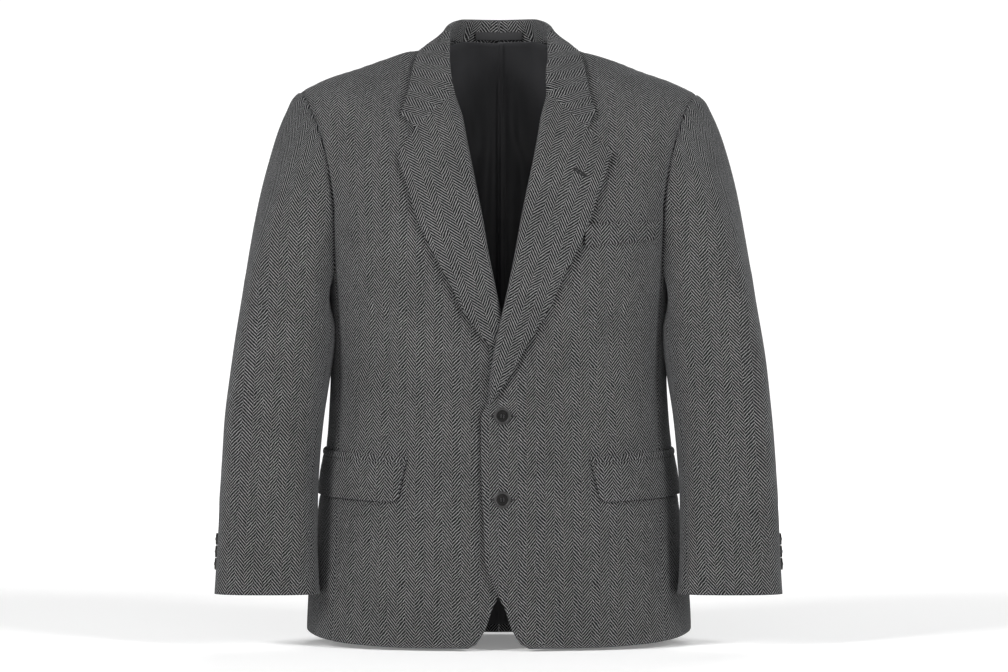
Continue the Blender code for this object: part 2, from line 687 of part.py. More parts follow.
def lining(side):
    """Half of the back's lining, from the back's own points, its middle pleat folded on the wearer's right."""
    x, z = back_places()
    cut = 0.15 + 0.75 * ease((x[0] - 0.5 * NECK_SIDE) / (0.5 * NECK_SIDE))
    x[0], z[0] = mix(x[0], x[1], cut), mix(z[0], z[1], cut)
    x[:, -1] = mix(x[:, -1], x[:, -2], 0.15)
    z = np.maximum(z, LINING_HEM)
    below = (EASE + LINING) * (0.5 - 0.5 * side) * ease((0.03 - x) / 0.02)
    x[:, 0] += SEAM if side > 0 else -PLEAT
    keep = np.concatenate((z[:-1, 0] - z[1:, 0] > 1e-4, [True]))
    grid = on_back(side * x, z, -(2 * LOOSE + LINING) - below)
    return grid[keep]


def hanger():
    """Plain band across the back of the neck, on the inside of the stand."""
    _, stand, fold, _ = collar_half(1)
    x = np.linspace(-HANGER[0], HANGER[0], 9)
    low = np.column_stack((stand[:3, 0], stand[:3, 1]))
    high = np.column_stack((fold[:3, 0], fold[:3, 1]))
    lines = []
    for z in HANGER[1:]:
        share = (z - stand[0, 2]) / (fold[0, 2] - stand[0, 2])
        y = mix(along(low, 1, np.abs(x)), along(high, 1, np.abs(x)), share)
        lines.append(np.stack((x, y - CLOTH - 1.5 * LOOSE - LINING, np.full(x.shape, z)), axis=-1))
    return np.stack(lines, axis=0)


# ---------------------------------------------------------------- objects

TWEED = ("tweed", (0.090, 0.091, 0.094), 0.92)
DARK_LINING = ("lining", (0.016, 0.016, 0.018), 0.42)
HORN = ("button", (0.020, 0.020, 0.022), 0.38)


def clear_scene():
    for item in list(bpy.data.objects):
        bpy.data.objects.remove(item, do_unlink=True)


def material(name, colour, roughness):
    made = bpy.data.materials.get(name) or bpy.data.materials.new(name)
    made.use_nodes = True
    shader = made.node_tree.nodes["Principled BSDF"]
    shader.inputs["Base Color"].default_value = (*colour, 1.0)
    shader.inputs["Roughness"].default_value = roughness
    shader.inputs["Metallic"].default_value = 0.0
    return made


def collection(name):
    found = bpy.data.collections.get(name)
    if found is None:
        found = bpy.data.collections.new(name)
        bpy.context.scene.collection.children.link(found)
    return found


def place(name, mesh, look, group="jacket"):
    item = bpy.data.objects.new(name, mesh)
    if look:
        mesh.materials.append(material(*look))
    collection(group).objects.link(item)
    return item


def cloth(name, grid, outward, wall=CLOTH, look=TWEED):
    """Open sheet through the grid's points, given its wall on the side that outward points to."""
    rows, columns = grid.shape[:2]
    r, c = rows // 2, columns // 2
    normal = np.cross(grid[r, c] - grid[r, c - 1], grid[r, c] - grid[r - 1, c])
    if np.dot(normal, outward) < 0:
        grid = grid[:, ::-1]
    mesh = bpy.data.meshes.new(name)
    faces = [
        (i * columns + j, i * columns + j + 1, (i + 1) * columns + j + 1, (i + 1) * columns + j)
        for i in range(rows - 1) for j in range(columns - 1)
    ]
    mesh.from_pydata(grid.reshape(-1, 3).tolist(), [], faces)
    for face in mesh.polygons:
        face.use_smooth = True
    item = place(name, mesh, look)
    solid = item.modifiers.new("Wall", "SOLIDIFY")
    solid.thickness = wall
    solid.offset = 1.0
    return item


def turned(name, profile, look, steps=16):
    """Solid turned round its own Z from a profile of radius and height, from axis to axis."""
    mesh = bpy.data.meshes.new(name)
    points = [(radius, 0.0, height) for radius, height in profile]
    mesh.from_pydata(points, [(i, i + 1) for i in range(len(points) - 1)], [])
    item = place(name, mesh, look)
    screw = item.modifiers.new("Turn", "SCREW")
    screw.steps = steps
    screw.render_steps = steps
    screw.use_merge_vertices = True
    screw.merge_threshold = 1e-5
    screw.use_normal_calculate = True
    screw.use_smooth_shade = True
    return item


def button(name, radius, at, away):
    """Round button with a raised rim and four holes, its back on a point and its face turned away."""
    thick = radius * 0.38
    profile = (
        (0.0, 0.0), (radius * 0.86, 0.0), (radius, thick * 0.35), (radius, thick * 0.75),
        (radius * 0.90, thick), (radius * 0.72, thick), (radius * 0.58, thick * 0.68), (0.0, thick * 0.68),
    )
    item = turned(name, profile, HORN)
    cutters = bmesh.new()
    for turn in range(4):
        angle = math.radians(45 + 90 * turn)
        made = bmesh.ops.create_cone(
            cutters, cap_ends=True, segments=6, radius1=radius * 0.09, radius2=radius * 0.09, depth=radius)
        shift = (math.cos(angle) * radius * 0.24, math.sin(angle) * radius * 0.24, thick / 2)
        bmesh.ops.translate(cutters, verts=made["verts"], vec=shift)
    mesh = bpy.data.meshes.new(name + "_holes")
    cutters.to_mesh(mesh)
    cutters.free()
    tool = place(name + "_holes", mesh, None, "cutters")
    tool.hide_render = True
    tool.hide_viewport = True
    cut = item.modifiers.new("Holes", "BOOLEAN")
    cut.object = tool
    cut.operation = "DIFFERENCE"
    turn = vector(away).to_track_quat("Z", "Y")
    for part in (item, tool):
        part.rotation_mode = "QUATERNION"
        part.rotation_quaternion = turn
        part.location = at
    return item


def vector(values):
    return Vector([float(value) for value in values])


def front_button(name, z):
    at = on_front(1, BUTTON_X, z, CLOTH + SEAM)
    away = at - on_front(1, BUTTON_X, z, 0.0)
    button(name, FRONT_BUTTON_RADIUS, at.tolist(), away)


def cuff_button(name, side, z):
    """Button on the sleeve's outer edge, facing straight out."""
    down = 1 + (z - CAP_END) / (CUFF - CAP_END)
    here = sleeve(side, 0.0, down)
    above = sleeve(side, 0.0, down - 0.02)
    slope = above - here
    away = np.cross(slope, (0.0, 1.0, 0.0)) * side
    away = -away if away[0] * side < 0 else away
    away /= np.linalg.norm(away)
    button(name, CUFF_BUTTON_RADIUS, (here + away * (CLOTH + EASE)).tolist(), away)


def build_body():
    for side, word in ((1, "left"), (-1, "right")):
        cloth("front_" + word, front_panel(side), (0, -1, 0))
        cloth("back_" + word, back_panel(side), (0, 1, 0))
        cloth("side_" + word, side_panel(side), (side, 0, 0))
        cloth("lining_" + word, lining(side), (0, 1, 0), LINING, DARK_LINING)
        cloth("lapel_" + word, lapel(side), (0, -1, 0))
        cloth("flap_" + word, flap(side), (side, -1, 0))
        cloth("jetting_" + word, jetting(side), (side, -1, 0))
    cloth("collar", collar(), (0, 0, 1))
    cloth("breast_welt", welt(), (0, -1, 0))
    cloth("hanger_band", hanger(), (0, 1, 0), LINING, DARK_LINING)


def build_sleeves():
    for side, word in ((1, "left"), (-1, "right")):
        cloth("sleeve_top_" + word, sleeve_panel(side, ELBOW_SEAM, FOREARM_SEAM, 12), (side, 0, 0))
        under = sleeve_panel(side, FOREARM_SEAM, 360 + ELBOW_SEAM, 9)
        cloth("sleeve_under_" + word, under, (-side, 0, 0))


def build_buttons():
    for word, z in zip(("top", "bottom"), FRONT_BUTTONS):
        front_button("front_button_" + word, z)
    for side, word in ((1, "left"), (-1, "right")):
        for number, z in enumerate(CUFF_BUTTONS, 1):
            cuff_button(f"cuff_button_{word}_{number}", side, z)


def main():
    clear_scene()
    build_body()
    build_sleeves()
    build_buttons()


main()
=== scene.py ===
"""Grey herringbone tweed jacket, hollow and filled out as if it were worn.

Metres, +Z up, the front faces -Y. The origin is the middle of the neck, level with the shoulders.
Names say the wearer's side: the wearer's left is +X. Each panel is laid on the forms below at its own
fine spacing, pressed with its seams and creases, and given a wall of cloth.
"""

import math

import bmesh
import bpy
import numpy as np
from bpy.props import FloatProperty, FloatVectorProperty, IntProperty, PointerProperty
from mathutils import Matrix, Vector


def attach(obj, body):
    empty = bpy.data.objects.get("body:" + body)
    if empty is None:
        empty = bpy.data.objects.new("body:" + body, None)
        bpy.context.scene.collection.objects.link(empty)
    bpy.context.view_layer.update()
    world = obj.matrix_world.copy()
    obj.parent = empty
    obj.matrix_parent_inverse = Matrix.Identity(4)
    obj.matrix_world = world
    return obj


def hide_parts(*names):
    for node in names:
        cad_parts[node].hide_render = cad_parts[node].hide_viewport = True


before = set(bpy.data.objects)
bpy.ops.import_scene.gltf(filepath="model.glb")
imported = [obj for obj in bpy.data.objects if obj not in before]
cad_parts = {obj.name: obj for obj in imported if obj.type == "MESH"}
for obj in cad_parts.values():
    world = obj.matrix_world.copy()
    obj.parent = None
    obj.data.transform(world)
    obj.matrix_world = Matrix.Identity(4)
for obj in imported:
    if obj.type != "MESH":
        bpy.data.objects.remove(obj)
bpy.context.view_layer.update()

bl_info = {
    "name": "Herringbone tweed jacket",
    "version": (1, 0, 0),
    "blender": (4, 5, 0),
    "location": "View3D > Sidebar > Jacket",
    "description": "Builds the cloth, lining, buttons and stage of a two-button tweed jacket",
    "category": "Object",
}

# Cloth and seams
CLOTH = 0.0018          # wall of the tweed pieces
LINING = 0.0010         # wall of the lining pieces
SEAM = 0.0001           # space between neighbouring pieces
EASE = 0.0006           # space under a piece that lies on another
LOOSE = 0.0014          # space under a flap, lapel or collar
SECTION = 2.3           # how square the torso's level sections are, 2 being an ellipse
NEARLY_ONE = 0.9999     # keeps a section's edge from closing to nothing

# Torso: height, half width, depth in front, depth behind
TORSO = (
    (0.050, 0.300, 0.118, 0.112),
    (0.000, 0.290, 0.118, 0.114),
    (-0.050, 0.262, 0.120, 0.116),
    (-0.100, 0.238, 0.123, 0.119),
    (-0.150, 0.224, 0.126, 0.121),
    (-0.200, 0.214, 0.128, 0.119),
    (-0.262, 0.206, 0.128, 0.113),
    (-0.320, 0.202, 0.126, 0.105),
    (-0.385, 0.2015, 0.124, 0.100),
    (-0.440, 0.2040, 0.126, 0.103),
    (-0.485, 0.2085, 0.129, 0.109),
    (-0.540, 0.2155, 0.132, 0.115),
    (-0.600, 0.2235, 0.134, 0.120),
    (-0.653, 0.2290, 0.136, 0.124),
    (-0.687, 0.2300, 0.137, 0.126),
    (-0.720, 0.2300, 0.137, 0.126),
)
# Shoulder ridge: distance from the middle, height of the ridge, and of the form it continues in front
# and behind, which rises on under the collar
SHOULDER = (
    (0.000, 0.0300, 0.0450),
    (0.040, 0.0215, 0.0345),
    (0.068, 0.0125, 0.0125),
    (0.080, 0.0080, 0.0080),
    (0.0944, 0.0030, 0.0030),
    (0.110, -0.0005, -0.0005),
    (0.138, -0.0088, -0.0088),
    (0.1684, -0.0202, -0.0202),
    (0.2046, -0.0323, -0.0323),
    (0.2298, -0.0438, -0.0438),
    (0.2370, -0.0475, -0.0475),
    (0.2600, -0.0620, -0.0620),
)
SHOULDER_TIP = 0.2370   # half the width from shoulder tip to shoulder tip
ROLL_FRONT = 0.200      # drop from the ridge to the full depth of the chest
ROLL_BACK = 0.150       # and of the back
NECK_SIDE = 0.068       # half the width of the neck hole at the shoulder seams
BACK_NECK = 0.0140      # height of the back neckline

# Armhole: height, half width at its front edge, half width at its back edge
ARMHOLE = (
    (-0.0493, 0.2370, 0.2370),
    (-0.0560, 0.2310, 0.2320),
    (-0.0816, 0.2190, 0.2220),
    (-0.1100, 0.2090, 0.2130),
    (-0.1400, 0.2020, 0.2055),
    (-0.1686, 0.1975, 0.1995),
    (-0.1957, 0.1950, 0.1940),
    (-0.2400, 0.1940, 0.1847),
    (-0.2620, 0.1935, 0.1835),
)
ARMHOLE_FRONT_END = -0.262
ARMHOLE_BACK_END = -0.240
ARMHOLE_BOTTOM = -0.292
FRONT_SHARE = 0.38      # share of the way round the armhole that its front takes, and its bottom ends
BOTTOM_SHARE = 0.62

# Seams of the side body: height, half width at the front seam, angle round the back at the back seam
SIDE_SEAMS = (
    (-0.240, 0.1945, 118.0),
    (-0.262, 0.1935, 119.0),
    (-0.360, 0.1880, 124.0),
    (-0.450, 0.1885, 127.0),
    (-0.550, 0.1900, 128.0),
    (-0.720, 0.1970, 130.0),
)
# Hem: angle round the body from the middle of the front, height
HEM = (
    (0.0, -0.7052), (20.0, -0.7056), (45.0, -0.7030), (62.0, -0.6990),
    (78.0, -0.6935), (92.0, -0.6900), (120.0, -0.6960), (150.0, -0.7040), (180.0, -0.7060),
)

# Opening and front edge: height, half width of the roll from the opening's middle
ROLL = (
    (-0.0200, 0.0590),
    (-0.0500, 0.0550),
    (-0.0862, 0.0450),
    (-0.1031, 0.0420),
    (-0.1517, 0.0325),
    (-0.1972, 0.0235),
    (-0.2478, 0.0145),
    (-0.3154, 0.0000),
    (-0.3562, -0.0088),
    (-0.3946, -0.0145),
    (-0.4237, -0.0170),
    (-0.4400, -0.0240),
)
OPENING_MIDDLE = 0.0038
ROLL_INSET = 0.0042     # how far the front's cloth stops inside the lapel's roll
# Front edge and cutaway, wearer's left: height, x
CUTAWAY = (
    (-0.4400, -0.0202),
    (-0.4900, -0.0202),
    (-0.5274, -0.0191),
    (-0.5483, -0.0176),
    (-0.6019, -0.0155),
    (-0.6287, -0.0061),
    (-0.6450, 0.0000),
    (-0.6590, 0.0073),
    (-0.6800, 0.0140),
    (-0.6928, 0.0206),
    (-0.7015, 0.0271),
    (-0.7049, 0.0353),
)
UNDERLAP = 0.0078       # how much further the lower front reaches at the buttons
OVERLAP_LIFT = 0.0030   # rise of the upper front over the lower one
FOLD_LIFT = 0.0028      # further rise where the leg of its own lapel's fold lies between
LAPEL_LIFT = 0.0032     # and where the hidden end of the lower lapel does

# Lapels, outer edge below the tip: height, half width (wearer's left, then right)
LAPEL_LEFT = (
    (-0.1281, 0.1314), (-0.1852, 0.1116), (-0.2100, 0.1033), (-0.2323, 0.0938), (-0.2674, 0.0763),
    (-0.2985, 0.0611), (-0.3317, 0.0435), (-0.3562, 0.0295), (-0.3818, 0.0163), (-0.4004, 0.0047),
    (-0.4144, -0.0031),
)
LAPEL_RIGHT = (
    (-0.1318, 0.1172), (-0.1735, 0.1027), (-0.1935, 0.0972), (-0.2440, 0.0748), (-0.2791, 0.0557),
    (-0.3153, 0.0381), (-0.3375, 0.0224), (-0.3562, 0.0050), (-0.3700, -0.0080),
)
LAPEL_TOP = -0.0590     # height where the gorge seam meets the roll
NOTCH_LEFT = (0.1033, -0.0983)      # inner corner of the notch: half width, height
NOTCH_RIGHT = (0.0975, -0.0993)
NOTCH_SHARE = 0.66      # the notch's place between the roll and the lapel's tip
COLLAR_TIP = (0.1143, -0.0822)      # tip of the collar: half width, height
LAPEL_RISE = 0.0022     # how far the lapel's outer edge floats over the chest
GORGE = 0.0006          # space between the lapel's top edge and the collar
FOLD_LEG = 0.0075       # width of a fold's leg behind the front

# Collar: share of the way from the back to the notch, then three places, each as half width, y and
# height: the stand's lower edge, the fold, and the fall's outer edge
COLLAR = (
    (0.00, 0.0000, 0.0675, 0.0160, 0.0000, 0.0650, 0.0420, 0.0000, 0.0860, -0.0060),
    (0.14, 0.0260, 0.0635, 0.0160, 0.0240, 0.0600, 0.0420, 0.0330, 0.0840, -0.0060),
    (0.28, 0.0470, 0.0520, 0.0158, 0.0420, 0.0470, 0.0412, 0.0620, 0.0720, -0.0055),
    (0.40, 0.0595, 0.0310, 0.0165, 0.0525, 0.0270, 0.0370, 0.0850, 0.0450, 0.0008),
    (0.52, 0.0640, 0.0080, 0.0158, 0.0570, 0.0060, 0.0290, 0.0940, 0.0080, 0.0068),
    (0.64, 0.0645, -0.0080, 0.0070, 0.0595, -0.0150, 0.0145, 0.0985, -0.0180, -0.0032),
    (0.78, 0.0645, -0.0225, -0.0140, 0.0595, -0.0380, -0.0080, 0.1030, -0.0400, -0.0290),
    (0.90, 0.0625, -0.0410, -0.0380, 0.0570, -0.0610, -0.0330, 0.1080, -0.0600, -0.0560),
)
COLLAR_SPREAD = 0.0017  # half the space between the collar's two layers at the fold
FALL_BOW = 0.0010       # outward bow of the collar's fall

# Sleeves: height, outer edge, inner edge, y of the middle, half depth
SLEEVE = (
    (-0.3000, 0.3078, 0.1900, -0.0120, 0.0750),
    (-0.3450, 0.3143, 0.1935, -0.0260, 0.0710),
    (-0.3930, 0.3202, 0.2010, -0.0380, 0.0650),
    (-0.4400, 0.3248, 0.2079, -0.0470, 0.0580),
    (-0.4870, 0.3278, 0.2116, -0.0550, 0.0520),
    (-0.5340, 0.3302, 0.2141, -0.0620, 0.0460),
    (-0.5810, 0.3320, 0.2142, -0.0680, 0.0410),
    (-0.6280, 0.3340, 0.2125, -0.0730, 0.0370),
    (-0.6450, 0.3350, 0.2107, -0.0750, 0.0360),
)
SLEEVE_SECTION = 2.5    # how square the sleeve's level sections are
CUFF = -0.6450
CAP_END = -0.3350       # height where the sleeve's head has become a tube
ARM_CLEAR = 0.0020      # space between the sleeve and the body
# Sleeve head: share round the armhole from the shoulder tip by the front, the way it leaves the
# armhole (outwards, forwards, down), and how far it starts outside the body's inner face
HEAD = (
    (0.00, 0.125, 0.000, 0.140, 0.0000),
    (0.12, 0.100, 0.050, 0.120, 0.0000),
    (0.25, 0.065, 0.050, 0.095, 0.0000),
    (0.38, 0.025, 0.020, 0.040, 0.0008),
    (0.50, 0.004, 0.000, 0.040, 0.0040),
    (0.62, 0.025, -0.020, 0.040, 0.0008),
    (0.75, 0.065, -0.050, 0.095, 0.0000),
    (0.88, 0.100, -0.050, 0.120, 0.0000),
    (1.00, 0.125, 0.000, 0.140, 0.0000),
)
FOREARM_SEAM = 150.0    # angle round the sleeve, from its outer edge by the front
ELBOW_SEAM = -98.0

# Pockets: half width and height of the flap's upper front corner, angle and height of its rear end
FLAP_FRONT = (0.1080, -0.4890)
FLAP_BACK = (99.0, -0.4800)
FLAP_DROP = 0.0470
FLAP_LENGTH = 0.135     # the flap's shown length, by which its corner is spaced
FLAP_ROUND = 0.0070     # rounding of the flap's lower front corner
FLAP_TILT = 0.0090      # how far the flap's lower front corner lies behind the upper one
JETTING = 0.0055
# Breast welt: half width, height of its upper edge, height of its lower edge
WELT = (
    (0.1000, -0.2102, -0.2360),
    (0.1450, -0.2078, -0.2315),
    (0.1870, -0.2050, -0.2266),
)
BUTTON_X = 0.0044
FRONT_BUTTONS = (-0.4342, -0.5320)
CUFF_BUTTONS = (-0.5810, -0.5956, -0.6102)
FRONT_BUTTON_RADIUS = 0.0100
BUTTON_DEPTH = 0.36     # thickness as a share of the radius
# Rings of a button's face from its rim inwards: width by the radius, rise by the thickness
BUTTON_STEPS = ((0.13, 0.10), (0.14, 0.02), (0.09, -0.40), (0.10, 0.0), (0.24, 0.03))
POLISHED_FROM = 0.66    # share of the radius beyond which the rim is polished
CUFF_BUTTON_RADIUS = 0.0071
LAPEL_HOLE = ((0.0880, -0.1446), (0.1028, -0.1540))     # ends of the lapel's buttonhole: x, height
LINING_HEM = -0.6955
PLEAT = 0.0060          # width by which one half of the lining folds over the other
HANGER = (0.0285, 0.0185, 0.0283)   # half width, lower edge, upper edge


def along(table, column, at):
    """Smooth value of a table's column where its first column equals at."""
    rows = np.array(table, dtype=float)
    if rows[0, 0] > rows[-1, 0]:
        rows = rows[::-1]
    keys, values = rows[:, 0], rows[:, column]
    steps = np.diff(keys)
    slopes = np.diff(values) / steps
    tangents = np.concatenate((slopes[:1], np.zeros(len(keys) - 2), slopes[-1:]))
    same = slopes[:-1] * slopes[1:] > 0
    pairs = np.where(same, slopes[:-1] + slopes[1:], 1.0)
    tangents[1:-1] = np.where(same, 2 * slopes[:-1] * slopes[1:] / pairs, 0.0)
    at = np.clip(at, keys[0], keys[-1])
    i = np.clip(np.searchsorted(keys, at, side="right") - 1, 0, len(keys) - 2)
    return curve_through(values, tangents, steps, i, (at - keys[i]) / steps[i])


def curve_through(values, tangents, steps, i, u):
    """Place at a share u of the way from value i to the next, on a curve with given tangents."""
    return (
        values[i] * (1 + 2 * u) * (1 - u) ** 2 + values[i + 1] * u * u * (3 - 2 * u)
        + steps[i] * u * (1 - u) * (tangents[i] * (1 - u) - tangents[i + 1] * u)
    )


def ease(value):
    """Soft step from 0 to 1 while the value goes from 0 to 1."""
    value = np.clip(value, 0.0, 1.0)
    return value * value * (3 - 2 * value)


def mix(start, end, share):
    return start + (end - start) * share


def bell(distance, reach):
    """1 at no distance, falling softly to nearly nothing at twice the reach."""
    return np.exp(-((distance / reach) ** 2))


def unit(vectors):
    return vectors / np.linalg.norm(vectors, axis=-1, keepdims=True)


def even(count):
    """Shares from 0 to 1 in a number of equal steps."""
    return np.linspace(0, 1, count + 1)


def points_at(x, y, z):
    """Array of points from their coordinates."""
    return np.stack(np.broadcast_arrays(x, y, z), axis=-1)


def arrays(*values):
    """Numbers or arrays, as arrays of one shape."""
    return np.broadcast_arrays(*(np.asarray(value, float) for value in values))


def rounding(share):
    """How much of its depth the torso's level section keeps at a share of its half width, or the reverse."""
    return np.maximum(1 - np.minimum(np.abs(share), NEARLY_ONE) ** SECTION, 0) ** (1 / SECTION)


def squared(wave, power):
    """Sine or cosine bent from a circle's to a squarish oval's."""
    return np.sign(wave) * np.abs(wave) ** (2 / power)


# ---------------------------------------------------------------- forms of the torso

def section_share(x, z):
    """Depth of the level section at x, as a share of its full depth."""
    return rounding(x / (along(TORSO, 1, z) - CLOTH))


def overlap(side, x, z):
    """Rise of the wearer's left front where it lies on the other front and its lapel."""
    if side < 0:
        return 0.0
    rise = OVERLAP_LIFT + FOLD_LIFT * ease((z + 0.455) / 0.025) + LAPEL_LIFT * ease((z + 0.42) / 0.03)
    return rise * ease((0.085 - x) / 0.055) * ease((-0.245 - z) / 0.055)


def front_y(side, x, z):
    """Depth of the front's inner face at x and height z."""
    x, z = arrays(x, z)
    half = np.abs(x)
    drop = np.clip((along(SHOULDER, 1, half) - CLOTH - z) / ROLL_FRONT, 0, 1)
    power = 0.5 + 0.5 * ease((0.20 - half) / 0.13)
    curve = (1 - (1 - drop) ** 2) ** power
    deep = along(TORSO, 2, z) - CLOTH
    return -deep * section_share(x, z) * curve - overlap(side, x, z)


def back_y(x, z):
    """Depth of the back's inner face at x and height z."""
    x, z = arrays(x, z)
    half = np.abs(x)
    drop = np.clip((along(SHOULDER, 2, half) - CLOTH - z) / ROLL_BACK, 0, 1)
    curve = np.sqrt(1 - (1 - drop) ** 2)
    return (along(TORSO, 3, z) - CLOTH) * section_share(x, z) * curve


def around(side, angle, z):
    """Point of the torso's inner face at an angle round from the middle of the front."""
    turn = np.radians(angle)
    wide = along(TORSO, 1, z) - CLOTH
    deep = np.where(angle < 90, along(TORSO, 2, z), along(TORSO, 3, z)) - CLOTH
    x = side * wide * np.abs(np.sin(turn)) ** (2 / SECTION)
    return points_at(x, -deep * squared(np.cos(turn), SECTION), z)


def angle_at(x, z):
    """Angle round from the middle of the front at x, up to the side."""
    wide = along(TORSO, 1, z) - CLOTH
    return np.degrees(np.arcsin(np.minimum(np.abs(x) / wide, NEARLY_ONE) ** (SECTION / 2)))


def normals(surface, a, b, step_a, step_b):
    """Unit normals of surface(a, b), to the left of its first direction seen along the second."""
    along_a = surface(a + step_a, b) - surface(a - step_a, b)
    along_b = surface(a, b + step_b) - surface(a, b - step_b)
    return unit(np.cross(along_a, along_b))


def outside_of(surface, a, b, rise, way=1, step=1e-4):
    """Point a given rise outside surface(a, b)."""
    a, b = arrays(a, b)
    rise = np.broadcast_to(rise, a.shape)
    return surface(a, b) + way * normals(surface, a, b, step, 1e-4) * rise[..., None]


def on_front(side, x, z, rise=0.0):
    """Point a given rise outside the front's inner face."""
    return outside_of(lambda at, high: points_at(at, front_y(side, at, high), high), x, z, rise)


def on_back(x, z, rise=0.0):
    """Point a given rise outside the back's inner face."""
    return outside_of(lambda at, high: points_at(at, back_y(at, high), high), x, z, rise, -1)


def on_side(side, angle, z, rise=0.0):
    """Point a given rise outside the torso's inner face, by its angle round."""
    return outside_of(lambda at, high: around(side, at, high), angle, z, rise, side, 0.05)


def outward(surface, *place):
    """Unit normal of on_front, on_back or on_side at a place."""
    return unit(surface(*place, 1.0) - surface(*place, 0.0))


# ---------------------------------------------------------------- edges of the panels

def middle(z):
    """Middle of the opening at a height."""
    return OPENING_MIDDLE * ease((0.01 - z) / 0.10)


def roll_edge(side, z):
    """Half width of the lapel's roll, towards the wearer's given side."""
    return along(ROLL, 1, z) + side * middle(z)


def front_inner(side, z):
    """Inner edge of a front's cloth: neckline, roll, front edge and cutaway."""
    roll = roll_edge(side, z) + ROLL_INSET
    neck = mix(NECK_SIDE, roll, ease(-z / 0.072))
    plain = along(CUTAWAY, 1, z)
    if side < 0:
        plain = plain - UNDERLAP * ease((z + 0.65) / 0.06)
    return mix(neck, plain, ease((-0.412 - z) / 0.025))


def front_outer(z):
    """Outer edge of a front: armhole, then side seam."""
    return np.where(z > ARMHOLE_FRONT_END, along(ARMHOLE, 1, z), along(SIDE_SEAMS, 1, z))


def back_outer(z):
    """Outer edge of a back: armhole, then the seam with the side body."""
    seam = np.abs(around(1, along(SIDE_SEAMS, 2, z), z)[..., 0])
    return np.where(z > ARMHOLE_BACK_END, along(ARMHOLE, 2, z), seam)


def side_top(share):
    """Height of the armhole's bottom, by share of the way from its front to its back."""
    low = ARMHOLE_BOTTOM - (ARMHOLE_FRONT_END + ARMHOLE_BACK_END) / 2
    return mix(ARMHOLE_FRONT_END, ARMHOLE_BACK_END, share) + low * np.sin(math.pi * share)


def shares(top, turn, bottom, upper, lower):
    """Row heights as shares of the way down: eased to the turn, then even, and close at the hem."""
    steps = even(upper)[:-1] ** 1.5
    high = steps * (top - turn) / (top - bottom)
    rest = np.concatenate((np.linspace(0, 0.93, lower + 1), (0.955, 0.975, 0.99, 1.0)))
    return np.concatenate((high, mix((top - turn) / (top - bottom), 1.0, rest)))


def settle(inner, outer, top, bottom, share_across, share_down):
    """Place of each grid point where both the edges and the rows depend on the place itself."""
    across, down = np.meshgrid(share_across, share_down)
    x = np.full(across.shape, 0.1)
    z = mix(0.0, -0.7, down)
    for _ in range(12):
        x = mix(inner(z), outer(z), across)
        z = mix(top(x), bottom(x, z), down)
    return x, z


# ---------------------------------------------------------------- panels

UPPER_ROWS = 60
LOWER_ROWS = 100


def front_places(side, columns=64):
    """Half width and height of the points of a front."""
    top = along(SHOULDER, 1, SHOULDER_TIP)
    down = shares(top, ARMHOLE_FRONT_END, along(HEM, 1, 62.0), UPPER_ROWS, LOWER_ROWS)
    return settle(
        lambda at: front_inner(side, at), front_outer,
        lambda at: along(SHOULDER, 1, at) - CLOTH,
        lambda at, high: along(HEM, 1, angle_at(at, high)),
        even(columns), down)


def back_top(x):
    """Upper edge of the back: shoulder seam, then the level neckline."""
    return np.minimum(along(SHOULDER, 2, x) - CLOTH, BACK_NECK)


def back_places(columns=56):
    """Half width and height of the points of half the back."""
    top = along(SHOULDER, 2, SHOULDER_TIP)
    down = shares(top, ARMHOLE_BACK_END, along(HEM, 1, 130.0), UPPER_ROWS, LOWER_ROWS)
    return settle(
        lambda at: 0 * at, back_outer, back_top,
        lambda at, high: along(HEM, 1, 180 - angle_at(at, high)),
        even(columns), down)


def side_places(side, columns=36):
    """Angle and height of the points of a side body."""
    across = even(columns)[None, :]
    down = shares(0.0, 0.0, -1.0, 0, LOWER_ROWS)[:, None]
    z = mix(ARMHOLE_FRONT_END, -0.69, down) + 0 * across
    for _ in range(6):
        start = angle_at(along(SIDE_SEAMS, 1, z), z)
        angle = mix(start, along(SIDE_SEAMS, 2, z), across)
        z = mix(side_top(across), along(HEM, 1, angle), down)
    return angle, z


# ---------------------------------------------------------------- sleeves

def seam_angle(z):
    """Angle round the body of the side body's front seam."""
    return angle_at(along(SIDE_SEAMS, 1, z), z)


def armhole(side, share):
    """Point of the armhole's edge, by share of the way round it from the shoulder tip by the front."""
    top = ARMHOLE[0][0]
    down = np.clip(share / FRONT_SHARE, 0, 1) ** 1.2
    z = mix(top, ARMHOLE_FRONT_END, down)
    x = side * along(ARMHOLE, 1, z)
    front = points_at(x, front_y(side, x, z), z)
    below = np.clip((share - FRONT_SHARE) / 0.24, 0, 1)
    low = side_top(below)
    turn = mix(seam_angle(low), along(SIDE_SEAMS, 2, low), below)
    bottom = around(side, turn, low)
    up = np.clip((1 - share) / FRONT_SHARE, 0, 1) ** 1.2
    high = mix(top, ARMHOLE_BACK_END, up)
    x = side * along(ARMHOLE, 2, high)
    return by_share(share, front, bottom, points_at(x, back_y(x, high), high))


def by_share(share, front, bottom, back):
    """One of three arrays of vectors, by share of the way round the armhole."""
    which = np.broadcast_to(share, front.shape[:-1])[..., None]
    return np.where(which < FRONT_SHARE, front, np.where(which < BOTTOM_SHARE, bottom, back))


def ring(side, turn, z):
    """Point of the sleeve's inner face, by angle round it from its outer edge by the front."""
    outer = along(SLEEVE, 1, z) - CLOTH
    inner = along(SLEEVE, 2, z) + CLOTH
    turn = np.radians(turn)
    x = (outer + inner) / 2 + (outer - inner) / 2 * squared(np.cos(turn), SLEEVE_SECTION)
    y = along(SLEEVE, 3, z) - (along(SLEEVE, 4, z) - CLOTH) * squared(np.sin(turn), SLEEVE_SECTION)
    return points_at(side * x, y, z)


